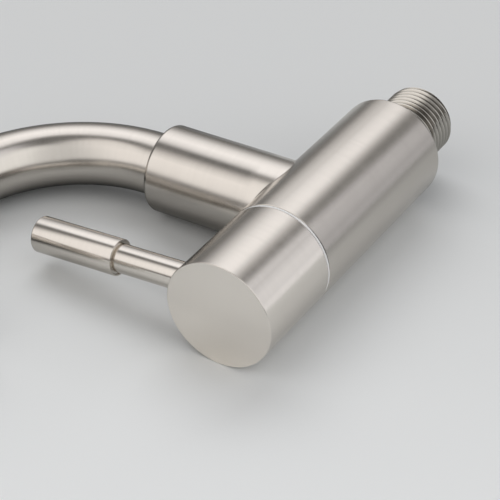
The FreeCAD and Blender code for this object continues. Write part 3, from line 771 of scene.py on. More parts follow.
# Painted shade on the cap's upper side, painted light and shade on its lower side
CAP_UPPER_PAINTED_SHADE = PaintedLightBand(1, 3.0, ((8.0, 0.6), (11.5, 0.52), (13.3, 0.53), (14.3, 1.0)))
CAP_LOWER_PAINTED_LIGHT_AND_SHADE = PaintedLightBand(-1, 3.0, ((-8.3, 1.0), (-4.3, 0.87), (0.0, 0.88), (4.3, 0.95), (6.5, 1.1), (8.3, 0.9),
                               (10.0, 0.92), (11.6, 0.8), (12.9, 1.0), (14.0, 1.2), (14.8, 1.0)))
# Painted shade on the bend's underside towards -X, and a painted highlight near its middle
TUBE_PAINTED_LIGHT_AND_SHADE = PaintedLightBand(1, 46.0, ((-7.0, 0.25), (-6.0, 0.41), (-5.0, 0.62), (-2.8, 1.14), (-1.4, 1.33),
                               (0.0, 1.2), (1.4, 0.95), (6.4, 0.96), (8.3, 0.8), (8.85, 1.0)))
BODY_STEEL = BrushedSteel("brushed_steel_body", axes=(Axis.BARREL, Axis.BRANCH), groove_depth=4.5e-6,
                          painted_bands=(BARREL_LOWER_PAINTED_SHADE, BARREL_UPPER_PAINTED_HIGHLIGHT, BRANCH_PAINTED_LIGHT_AND_SHADE), seat_shade_depth=61.87)
CAP_STEEL = BrushedSteel("brushed_steel_cap", face_depth=91.55, painted_bands=(CAP_UPPER_PAINTED_SHADE, CAP_LOWER_PAINTED_LIGHT_AND_SHADE))
LEVER_STEEL = BrushedSteel("brushed_steel_lever", axes=(Axis.LEVER,), roughness=0.15)
TUBE_STEEL = BrushedSteel("brushed_steel_tube", straightened="along_tube", painted_bands=(TUBE_PAINTED_LIGHT_AND_SHADE,))
OUTLET_STEEL = BrushedSteel("brushed_steel_outlet", axes=(Axis.OUTLET,))
THREAD_STEEL = ThreadSteel("thread_steel")
BRASS = TurnedMetal("brass")
SPIGOT_BRASS = TurnedMetal("brass_spigot", Axis.BRANCH)
SCREW_STEEL = TurnedMetal("screw_steel", Axis.LEVER, (0.45, 0.44, 0.43), (0.32, 0.31, 0.3))
LOCK_STEEL = TurnedMetal("lock_screw_steel", Axis.BARREL, (0.45, 0.44, 0.43), (0.32, 0.31, 0.3))
WIRE = TurnedMetal("wire_cloth", Axis.OUTLET, (0.6, 0.6, 0.58), (0.45, 0.45, 0.43))
CERAMIC = Moulded("ceramic", (0.90, 0.88, 0.84), (0.86, 0.84, 0.79), 0.2, 1500.0, 1e-6)
NYLON = Moulded("white_nylon", (0.96, 0.96, 0.95), (0.91, 0.91, 0.90), 0.3, 1200.0, 1e-6)
RUBBER = Moulded("black_rubber", (0.035, 0.035, 0.036), (0.055, 0.055, 0.055), 0.62, 1600.0, 6e-6)
JET_PLASTIC = Moulded("jet_plastic", (0.80, 0.82, 0.84), (0.74, 0.76, 0.79), 0.35, 1000.0, 2e-6)


class Slot(Enum):
    """Material slots of the record."""

    STEEL = "brushed_stainless"
    THREAD = "thread_steel"
    NYLON = "white_nylon"
    WIRE = "wire_cloth"


def dress(obj: Piece, material: bpy.types.Material) -> None:
    """Gives a piece one material."""
    obj.data.materials.clear()
    obj.data.materials.append(material)


@dataclass
class Assembly:
    """A part of the tap whose pieces are built and dressed together."""

    palette: Palette

    def mount(self, obj: Piece, body: str, node: str, finish: Finish, slot: Slot = Slot.STEEL) -> None:
        """Dresses a finished piece and sets it on its body in place of its CAD node.

        Args:
            obj: the piece.
            body: the body it rides on.
            node: the CAD node it stands for.
            finish: its finish.
            slot: its material slot in the record; not used.
        """
        dress(obj, self.palette.get(finish))
        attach(obj, body)
        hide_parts(node)
        log.info("%s: %d faces, on %s", obj.name, len(obj.data.polygons), body)


def wrapped_grid(name: str, places: np.ndarray) -> Piece:
    """A grid whose rows are laid out on a surface.

    Args:
        name: the piece's name.
        places: points by row and column, in mm; the last column of points meets the first.

    Returns:
        The object, with the seam still open.
    """
    rows, columns = places.shape[0] - 1, places.shape[1] - 1
    obj = added(bpy.ops.mesh.primitive_grid_add, name, x_subdivisions=columns, y_subdivisions=rows, size=1.0)
    vertices = obj.data.vertices
    i, j = (np.rint((mesh_array(vertices, "co")[:, :2] + 0.5) * (columns, rows)).astype(int)).T
    vertices.foreach_set("co", (places[j, i] * MM).ravel())
    obj.data.update()
    return obj


@dataclass
class TapBody(Assembly):
    """Barrel with its branch, its threaded inlet and the white ring at its front."""

    barrel_radius: float = 15.6
    barrel_length: float = 61.9
    rear_round: float = 0.8
    rear_steps: int = 6
    seam_margin: float = 0.01
    front_chamfer: float = 0.1
    branch_radius: float = 12.65
    branch_top: float = 49.8
    branch_round: float = 1.2
    branch_bore: float = 11.0
    branch_floor: float = 22.0
    port_radius: float = 7.5
    cut_start: float = 5.0
    weld_radius: float = 0.8
    mouth_edge: float = 0.25
    rim_steps: int = 8
    side_steps: int = 12
    weld_steps: int = 8
    skin_steps: int = 40
    skin_ease: float = 1.25
    front_columns: int = 96
    side_columns: int = 32
    inside: Stops = ((0.0, 10.7475), (10.0, 10.7475), (10.0, 7.1), (21.0, 7.1), (21.0, 6.3), (24.0, 6.3),
                     (24.0, 10.1775), (46.0, 10.1775), (46.0, 10.4975), (57.9, 10.4975), (57.9, 13.9),
                     (61.9, 13.9))
    lock_radius: float = 1.52
    lock_end: float = 15.0
    thread_radius: float = 10.4775
    thread_pitch: float = 1.814
    thread_depth: float = 1.162
    thread_tip: float = 0.249
    flank: float = math.radians(27.5)
    helix_steps: int = 72
    spare_turns: int = 5
    crisp_from: float = 35.0
    end_chamfer: float = 0.9
    neck_radius: float = 9.3
    neck_length: float = 1.0
    neck_slope: float = 0.2
    shank_radius: float = 10.7275
    shank_length: float = 10.0
    nipple_length: float = 18.8
    nipple_bore: float = 7.1
    ring_thickness: float = 0.7
    ring_bore: float = 13.15
    ring_recess: float = 0.15
    ring_round: float = 0.15
    lip_radius: float = 13.88
    lip_length: float = 3.0

    def build(self) -> None:
        """Builds and dresses the three pieces."""
        self.mount(self.body_shell(), "root", "tap_body", BODY_STEEL)
        self.mount(self.inlet_nipple(), "root", "inlet_nipple", THREAD_STEEL, Slot.THREAD)
        self.mount(self.slip_ring(), "root", "slip_ring", NYLON, Slot.NYLON)

    def sheet_edge(self) -> np.ndarray:
        """Points round the edge of the barrel's skin laid out flat, as (width, depth) in mm."""
        half = math.pi * self.barrel_radius
        front, rear = self.barrel_length - self.front_chamfer, self.rear_round
        corners = ((-half, front), (half, front), (half, rear), (-half, rear), (-half, front))
        counts = (self.front_columns, self.side_columns) * 2
        points = [(x0 + (x1 - x0) * i / n, y0 + (y1 - y0) * i / n)
                  for (x0, y0), (x1, y1), n in zip(corners, corners[1:], counts) for i in range(n)]
        return np.array(points + points[:1])

    def ball_centres(self, angle: np.ndarray) -> np.ndarray:
        """Centres of a ball that rolls in the corner between branch and barrel, by angle round the branch."""
        arm = self.branch_radius + self.weld_radius
        x, y = arm * np.sin(angle), -BRANCH_DEPTH - arm * np.cos(angle)
        z = np.sqrt((self.barrel_radius + self.weld_radius) ** 2 - x ** 2)
        return np.stack([x, y, z], 1)

    def skin_rows(self) -> np.ndarray:
        """Rows of points from the floor of the branch's bore over its rim and down onto the barrel."""
        edge = self.sheet_edge()
        angle = np.unwrap(np.arctan2(edge[:, 0], edge[:, 1] - BRANCH_DEPTH))
        centre = self.ball_centres(angle)
        out = np.stack([np.sin(angle), -np.cos(angle), np.zeros_like(angle)], 1)
        base, up = np.array([0.0, -BRANCH_DEPTH, 0.0]), np.array([0.0, 0.0, 1.0])
        rim, round_start = self.branch_radius - self.branch_round, self.branch_top - self.branch_round
        levels = [(0.0, self.branch_floor), (self.branch_bore, self.branch_floor),
                  (self.branch_bore, self.branch_top - self.mouth_edge),
                  (self.branch_bore + self.mouth_edge, self.branch_top)]
        for step in range(self.rim_steps + 1):
            turn = math.pi / 2 * step / self.rim_steps
            levels.append((rim + self.branch_round * math.sin(turn),
                           self.branch_top - self.branch_round * (1 - math.cos(turn))))
        rows = [base + out * radius + up * height for radius, height in levels]
        top_of_side = base + out * self.branch_radius + up * round_start
        on_branch = centre - out * self.weld_radius
        for step in range(1, self.side_steps + 1):
            rows.append(top_of_side + (on_branch - top_of_side) * step / self.side_steps)
        inward = centre * np.array([1.0, 0.0, 1.0])
        on_barrel = centre - inward / np.linalg.norm(inward, axis=1)[:, None] * self.weld_radius
        a, b = on_branch - centre, on_barrel - centre
        swing = np.arccos(np.clip((a * b).sum(1) / self.weld_radius ** 2, -1, 1))[:, None]
        for step in range(1, self.weld_steps + 1):
            share = step / self.weld_steps
            arm = a * np.sin((1 - share) * swing) + b * np.sin(share * swing)
            rows.append(centre + arm / np.sin(swing))
        across = self.barrel_radius * np.arctan2(on_barrel[:, 0], on_barrel[:, 2])
        flat = np.stack([across, -on_barrel[:, 1]], 1)
        for step in range(1, self.skin_steps + 1):
            spot = flat + (edge - flat) * (step / self.skin_steps) ** self.skin_ease
            turn = spot[:, 0] / self.barrel_radius
            rows.append(np.stack([self.barrel_radius * np.sin(turn), -spot[:, 1],
                                  self.barrel_radius * np.cos(turn)], 1))
        return np.array(rows)

    def body_shell(self) -> Piece:
        """Barrel and branch in one skin with the weld's fillet between them.

        The fillet's two edges are space curves, so the skin is a grid whose rows follow them.
        """
        obj = wrapped_grid("tap_body_shell", self.skin_rows())
        tidy_mesh(obj)
        self.line_inside(obj)
        tidy_mesh(obj)
        port = rod(self.cut_start, self.branch_floor + OVERCUT, self.port_radius, Axis.BRANCH)
        combine(obj, port, Boolean.CUT)
        combine(obj, rod(self.cut_start, self.lock_end, self.lock_radius, Axis.LOCK, 32), Boolean.CUT)
        tidy_mesh(obj)
        soften(obj)
        true_normals(obj, [on_cylinder(Axis.BARREL, self.barrel_radius),
                           on_cylinder(Axis.BRANCH, self.branch_radius), self.on_weld])
        return obj

    def line_inside(self, obj: Piece) -> None:
        """Carries the skin over the barrel's rear edge, through its bores and out to the front edge."""
        turns = [math.pi / 2 * step / self.rear_steps for step in range(1, self.rear_steps + 1)]
        rings = [(self.rear_round * (1 - math.sin(turn)),
                  self.barrel_radius - self.rear_round * (1 - math.cos(turn))) for turn in turns]
        rings += [*self.inside, (self.barrel_length, self.barrel_radius - self.front_chamfer),
                  (self.barrel_length - self.front_chamfer, self.barrel_radius)]
        rear_edge = -(self.rear_round + self.seam_margin) * MM
        with editing(obj, "EDGE"):
            bpy.ops.mesh.select_all(action="DESELECT")
            mesh = bmesh.from_edit_mesh(obj.data)
            for edge in mesh.edges:
                edge.select = edge.is_boundary and min(v.co.y for v in edge.verts) > rear_edge
            mesh.select_flush_mode()
            bmesh.update_edit_mesh(obj.data)
            for depth, radius in rings:
                bpy.ops.mesh.extrude_edges_move()
                mesh = bmesh.from_edit_mesh(obj.data)
                for vertex in mesh.verts:
                    if vertex.select:
                        arm = Vector((vertex.co.x, 0, vertex.co.z)).normalized() * radius * MM
                        vertex.co = Vector((arm.x, -depth * MM, arm.z))
                bmesh.update_edit_mesh(obj.data)

    def on_weld(self, points: np.ndarray, centres: np.ndarray,
                faces: np.ndarray) -> tuple[np.ndarray, np.ndarray]:
        """Normals of the weld's fillet, which point at the rolling ball's centre."""
        def arms(spots: np.ndarray) -> np.ndarray:
            """From spots to the ball that touches there."""
            angle = np.arctan2(spots[:, 0], -(spots[:, 1] + BRANCH_DEPTH))
            reach = np.abs((self.branch_radius + self.weld_radius) * np.sin(angle))
            return self.ball_centres(np.where(reach < self.barrel_radius, angle, 0.0)) - spots

        arm = arms(points)
        gap, middle = np.linalg.norm(arm, axis=1), np.linalg.norm(arms(centres), axis=1)
        near = (np.abs(gap - self.weld_radius) < ON_WELD) & (middle < self.weld_radius + ON_WELD)
        return near & (points[:, 2] > 0), arm / np.maximum(gap, TINY)[:, None]

    def thread_profile(self) -> list[Point]:
        """One pitch of the thread, with rounded crest and root, as (distance along, radius) in mm."""
        pitch, deep, crest, tip = self.thread_pitch, self.thread_depth, self.thread_radius, self.thread_tip
        turns = [(math.pi / 2 - self.flank) * step / 4 for step in range(5)]
        half = [(tip * math.sin(turn), crest - tip * (1 - math.cos(turn))) for turn in turns]
        half += [(pitch / 2 - along, 2 * crest - deep - radius) for along, radius in reversed(half)]
        return half + [(pitch - along, radius) for along, radius in reversed(half[:-1])]

    def inlet_nipple(self) -> Piece:
        """Threaded inlet with a real helical thread."""
        pitch, length, crest = self.thread_pitch, self.nipple_length, self.thread_radius
        obj = drawn("inlet_nipple_threaded", self.thread_profile())
        apply_modifier(obj, "SCREW", angle=2 * math.pi, screw_offset=pitch * MM,
                       iterations=math.ceil(length / pitch) + self.spare_turns, steps=self.helix_steps,
                       render_steps=self.helix_steps, use_merge_vertices=False, use_smooth_shade=False)
        settle(obj, Matrix.Translation((0, 0, -3 * pitch * MM)))
        self.close_helix(obj, -1.6 * pitch, length + 0.6 * pitch)
        settle(obj, Axis.INLET.placing())
        start, outer = self.end_chamfer - length, crest + OVERCUT
        blank = turned("nipple_blank", [
            Corner(-length, 0.0), Corner(-length, crest - self.end_chamfer), Corner(start, crest - PLAY),
            Corner(start, outer), Corner(-self.neck_length - self.neck_slope, outer),
            Corner(-self.neck_length, self.neck_radius), Corner(2 * OVERCUT, self.neck_radius),
            Corner(2 * OVERCUT, 0.0)], Axis.BARREL, 96)
        combine(obj, blank, Boolean.KEEP_COMMON)
        combine(obj, rod(0.0, self.shank_length, self.shank_radius, Axis.BARREL), Boolean.JOIN)
        bore = rod(-length - OVERCUT, self.shank_length + OVERCUT, self.nipple_bore, Axis.BARREL)
        combine(obj, bore, Boolean.CUT)
        tidy_mesh(obj)
        soften(obj, self.crisp_from)
        return obj

    def close_helix(self, obj: Piece, low: float, high: float) -> None:
        """Cuts a helical surface square at two heights and closes both ends."""
        with editing(obj):
            bpy.ops.mesh.remove_doubles(threshold=MERGE)
            for height, is_low in ((low, True), (high, False)):
                bpy.ops.mesh.select_all(action="SELECT")
                bpy.ops.mesh.bisect(plane_co=(0, 0, height * MM), plane_no=(0, 0, 1), use_fill=True,
                                    clear_inner=is_low, clear_outer=not is_low, threshold=CUT)
            bpy.ops.mesh.select_all(action="SELECT")
            bpy.ops.mesh.normals_make_consistent(inside=False)

    def slip_ring(self) -> Piece:
        """White ring with softened edges, and its lip inside the barrel."""
        front, rear = self.barrel_length + self.ring_thickness, self.barrel_length
        outer, lip = self.barrel_radius - self.ring_recess, rear - self.lip_length
        return turned("slip_ring_white", [
            Corner(lip, self.ring_bore), Corner(front, self.ring_bore),
            Corner(front, outer, self.ring_round), Corner(rear, outer, self.ring_round),
            Corner(rear, self.lip_radius), Corner(lip, self.lip_radius)], Axis.BARREL)


@dataclass
class PinLeverHandle(Assembly):
    """Handle cap with its pin lever."""

    cap_radius: float = 15.6
    cap_rear: float = 62.9
    cap_front: float = 91.9
    cap_bore: float = 13.3
    cap_bore_length: float = 9.0
    cap_floor: float = 7.5
    rear_chamfer: float = 0.1
    side_rings: int = 12
    side_inset: float = 0.2
    bush_radius: float = 7.0
    edge: float = 0.25
    rod_radius: float = 4.0
    rod_seat: float = 3.0
    stud_radius: float = 3.0
    stud_length: float = 3.3
    stud_hole_start: float = 2.0
    rod_round: float = 0.3
    rod_gap: float = 0.3
    grip_start: float = 37.65
    grip_end: float = 64.0
    grip_radius: float = 5.1
    grip_wall: float = 0.55
    grip_recess: float = 0.4
    grip_end_wall: float = 3.0

    def build(self) -> None:
        """Builds and dresses the cap, the rod and the grip."""
        self.mount(self.handle_cap(), "handle", "handle_cap", CAP_STEEL)
        self.mount(self.lever_rod(), "handle", "lever_rod", LEVER_STEEL)
        self.mount(self.lever_grip(), "handle", "lever_grip", LEVER_STEEL)

    def handle_cap(self) -> Piece:
        """Blank cap, bored for the headwork and the bush, with the lever's seat in its side."""
        rear, front, r = self.cap_rear, self.cap_front, self.cap_radius
        floor, bore_end = front - self.cap_floor, rear + self.cap_bore_length
        span = (front - rear - 3 * self.side_inset) / self.side_rings
        side = [Corner(rear + self.side_inset + span * i, r) for i in range(1, self.side_rings)]
        obj = turned("handle_cap_steel", [
            Corner(rear, self.cap_bore), Corner(rear, r - self.rear_chamfer),
            Corner(rear + self.rear_chamfer, r), *side,
            Corner(front, r, self.edge, 4), Corner(front, 0.0), Corner(floor, 0.0),
            Corner(floor, self.bush_radius), Corner(bore_end, self.bush_radius),
            Corner(bore_end, self.cap_bore)], Axis.BARREL, 144)
        combine(obj, rod(r - self.rod_seat, r + 2 * OVERCUT, self.rod_radius + PLAY, Axis.LEVER), Boolean.CUT)
        stud = rod(self.stud_hole_start, r - OVERCUT, self.stud_radius + PLAY, Axis.LEVER, 64)
        combine(obj, stud, Boolean.CUT)
        tidy_mesh(obj)
        soften(obj)
        true_normals(obj, [on_cylinder(Axis.BARREL, r)])
        return obj

    def lever_rod(self) -> Piece:
        """Rod with the stud that screws into the cap."""
        seat = self.cap_radius - self.rod_seat
        stud, end = seat - self.stud_length, self.grip_end - self.grip_end_wall - self.rod_gap
        return turned("lever_rod_steel", [
            Corner(stud, 0.0), Corner(stud, self.stud_radius, self.rod_round), Corner(seat, self.stud_radius),
            Corner(seat, self.rod_radius), Corner(end, self.rod_radius, self.rod_round),
            Corner(end, 0.0)], Axis.LEVER, 96)

    def lever_grip(self) -> Piece:
        """Thin-walled sleeve with a rounded tip and an open recess round the rod."""
        start, end, recess = self.grip_start, self.grip_end, self.grip_radius - self.grip_wall
        floor, hold = end - self.grip_end_wall, self.rod_radius + PLAY
        return turned("lever_grip_steel", [
            Corner(start + 0.2, recess), Corner(start, recess + 0.15, 0.05, 2),
            Corner(start, self.grip_radius, 0.15, 4), Corner(end, self.grip_radius, 0.45, 6),
            Corner(end, 0.0), Corner(floor, 0.0), Corner(floor, hold), Corner(start + self.grip_recess, hold),
            Corner(start + self.grip_recess, recess)], Axis.LEVER, 96)


@dataclass
class SwanNeckSpout(Assembly):
    """Bent tube with its outlet collar and aerator."""

    tube_radius: float = 9.0
    wall: float = 1.0
    start: float = 38.0
    end: float = 8.4
    around: int = 96
    bend_steps: int = 108
    straight_steps: int = 6
    lip: float = 1.4
    collar_radius: float = 10.3
    collar_top: float = 13.4
    aerator_radius: float = 9.2
    aerator_bore: float = 7.8
    ledge: float = 7.0
    aerator_top: float = 6.6
    washer_top: float = 7.8
    slots: int = 4
    slot_width: float = 2.4
    screen_play: float = 0.1
    screen_height: float = 1.7
    wire: float = 0.28
    wire_sides: int = 6
    wire_pitch: float = 0.9
    weave: float = 0.15
    wire_crisp_from: float = 60.0

    def build(self) -> None:
        """Builds and dresses the tube, the collar, the shell and the screen."""
        self.mount(self.spout_tube(), "spout", "spout_tube", TUBE_STEEL)
        self.mount(self.outlet_collar(), "spout", "outlet_collar", OUTLET_STEEL)
        self.mount(self.aerator_shell(), "spout", "aerator_shell", OUTLET_STEEL)
        self.mount(self.wire_screen(), "spout", "aerator_screen", WIRE, Slot.WIRE)

    def spout_tube(self) -> Piece:
        """Tube bent over in one arc, with a real wall, and its straightened coordinates stored on it."""
        base = Axis.BRANCH.base()
        obj = added(bpy.ops.mesh.primitive_circle_add, "spout_tube_steel", vertices=self.around,
                    radius=self.tube_radius * MM, location=(base.x, base.y, self.start * MM))
        settle(obj, obj.matrix_world.copy())
        with editing(obj, "EDGE"):
            self.draw_straight(Axis.BRANCH.direction(), BEND_HEIGHT - self.start)
            centre = (0, base.y - BEND_RADIUS * MM, BEND_HEIGHT * MM)
            bpy.ops.mesh.spin(steps=self.bend_steps, angle=BEND_ANGLE, center=centre, axis=(-1, 0, 0))
            self.draw_straight(-Axis.OUTLET.direction(), SPOUT_LEG - self.end)
        tidy_mesh(obj)
        self.face_outwards(obj)
        apply_modifier(obj, "SOLIDIFY", thickness=self.wall * MM, offset=-1.0, use_even_offset=True)
        soften(obj)
        self.store_straightened(obj)
        return obj

    def draw_straight(self, direction: Vector, length: float) -> None:
        """Draws the selected ring out into a straight piece of tube, in short steps."""
        step = direction * (length * MM / self.straight_steps)
        for _ in range(self.straight_steps):
            bpy.ops.mesh.extrude_edges_move(TRANSFORM_OT_translate={"value": step})

    def face_outwards(self, obj: Piece) -> None:
        """Flips an open tube if its faces look at its own centre line."""
        face = min(obj.data.polygons, key=lambda p: p.center.z)
        middle = Vector((0, Axis.BRANCH.base().y, face.center.z))
        if face.normal.dot(face.center - middle) < 0:
            with editing(obj):
                bpy.ops.mesh.flip_normals()

    def store_straightened(self, obj: Piece) -> None:
        """Stores where each point would be on a straight tube, so that the brushing follows the bend."""
        x, y, z = mesh_array(obj.data.vertices, "co").T
        bend, sine, cosine = BEND_RADIUS * MM, BEND_SINE, BEND_COSINE
        y, z = y - Axis.BRANCH.base().y + bend, z - BEND_HEIGHT * MM
        past = z * cosine - y * sine
        parts = [(z < 0) & (y > 0), (past > 0) & (y < 0)]
        along = np.select(parts, [z, BEND_ANGLE * bend + past], np.arctan2(z, y) * bend)
        aside = np.select(parts, [y, y * cosine + z * sine], np.hypot(y, z)) - bend
        flat = np.stack([x, aside, along], 1).astype(np.float32)
        attribute = obj.data.attributes.new(TUBE_STEEL.straightened, "FLOAT_VECTOR", "POINT")
        attribute.data.foreach_set("vector", flat.ravel())

    def outlet_collar(self) -> Piece:
        """Collar brazed on the tube's end."""
        hold, waist, seat = self.tube_radius + PLAY, self.tube_radius - self.wall, self.aerator_radius + PLAY
        return turned("outlet_collar_steel", [
            Corner(self.lip, seat), Corner(self.lip, self.collar_radius, 0.15, 3),
            Corner(self.collar_top, self.collar_radius, 0.5, 5), Corner(self.collar_top, hold),
            Corner(self.end, hold), Corner(self.end, waist), Corner(self.washer_top, waist),
            Corner(self.washer_top, seat)], Axis.OUTLET)

    def aerator_shell(self) -> Piece:
        """Threaded shell with key slots in its lip."""
        obj = turned("aerator_shell_steel", [
            Corner(0.0, self.ledge, 0.2, 3), Corner(0.0, self.collar_radius, 0.45, 4),
            Corner(self.lip, self.collar_radius), Corner(self.lip, self.aerator_radius),
            Corner(self.aerator_top, self.aerator_radius), Corner(self.aerator_top, self.aerator_bore),
            Corner(self.lip, self.aerator_bore), Corner(self.lip, self.ledge)], Axis.OUTLET)
        size = Matrix.Diagonal((2 * self.collar_radius * MM, self.slot_width * MM, self.lip * MM, 1))
        spot = Matrix.Translation((self.collar_radius * MM, 0, 0))
        for i in range(self.slots):
            tool = added(bpy.ops.mesh.primitive_cube_add, "key_slot", size=1.0)
            turn = Matrix.Rotation(math.radians(45 + 360 * i / self.slots), 4, "Z")
            settle(tool, Axis.OUTLET.placing() @ turn @ spot @ size)
            combine(obj, tool, Boolean.CUT)
        tidy_mesh(obj)
        soften(obj)
        return obj

    def wire_screen(self) -> Piece:
        """Woven wire cloth: each wire goes over and under the ones that cross it."""
        reach = self.aerator_bore - self.screen_play
        count = int(reach / self.wire_pitch)
        wires = []
        for way in (0, 1):
            for number in range(-count, count + 1):
                half = math.sqrt(max(reach ** 2 - (number * self.wire_pitch) ** 2, 0.0))
                if half > self.wire_pitch:
                    wires.append(self.one_wire(way, number, half))
        clear_selection()
        for wire in wires:
            wire.select_set(True)
        bpy.context.view_layer.objects.active = wires[0]
        bpy.ops.object.join()
        obj = wires[0]
        obj.name = obj.data.name = "aerator_screen_wires"
        settle(obj, Axis.OUTLET.placing() @ Matrix.Translation((0, 0, self.screen_height * MM)))
        soften(obj, self.wire_crisp_from)
        return obj

    def one_wire(self, way: int, number: int, half: float) -> Piece:
        """One wire of the cloth.

        Args:
            way: 0 along X, 1 along Y.
            number: its place in the cloth, which also sets whether it starts over or under.
            half: half its length, in mm.

        Returns:
            The wire.
        """
        offset, side = number * self.wire_pitch, 1 if (number + way) % 2 else -1

        def spot(s: float) -> Vector:
            """Centre of the wire at a distance along it."""
            lift = side * self.weave * math.cos(math.pi * s / self.wire_pitch)
            return Vector((s, offset, lift) if way == 0 else (offset, s, lift)) * MM

        steps = max(6, int(4 * half / self.wire_pitch))
        places = [spot(-half + 2 * half * i / steps) for i in range(steps + 1)]
        turn = (0, math.pi / 2, 0) if way == 0 else (math.pi / 2, 0, 0)
        obj = added(bpy.ops.mesh.primitive_circle_add, "wire", vertices=self.wire_sides,
                    radius=self.wire / 2 * MM, fill_type="NGON", location=places[0], rotation=turn)
        with editing(obj):
            for before, after in zip(places, places[1:]):
                bpy.ops.mesh.extrude_region_move(TRANSFORM_OT_translate={"value": after - before})
            bpy.ops.mesh.select_all(action="SELECT")
            bpy.ops.mesh.normals_make_consistent(inside=False)
        settle(obj, obj.matrix_world.copy())
        return obj


@dataclass
class CarriedNodes(Assembly):
    """The CAD nodes that stay as they are and get a finish."""

    finishes: dict[str, Finish] = field(default_factory=lambda: {
        "seat_washer": RUBBER, "headwork_housing": BRASS, "headwork_o_ring": RUBBER, "fixed_disc": CERAMIC,
        "moving_disc": CERAMIC, "spindle": BRASS, "thrust_washer": NYLON, "spindle_o_rings": RUBBER,
        "spindle_clip": SCREW_STEEL, "spline_bush": BRASS, "handle_set_screw": SCREW_STEEL,
        "spout_spigot": SPIGOT_BRASS, "spout_slide_ring": NYLON, "spout_o_rings": RUBBER,
        "spout_bearing_ring": NYLON, "spout_lock_screw": LOCK_STEEL, "aerator_insert": JET_PLASTIC,
        "aerator_washer": RUBBER})

    def build(self) -> None:
        """Gives every carried-over node its material."""
        for name, finish in self.finishes.items():
            dress(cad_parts[name], self.palette.get(finish))
            log.info("%s: %s", name, finish.name)


@dataclass(frozen=True)
class SoftBox:
    """A soft light in the room round the tap, placed by direction, in degrees."""

    left: float
    right: float
    bottom: float
    top: float
    level: float
    colour: Triple
    left_blur: float
    right_blur: float
    bottom_blur: float
    top_blur: float


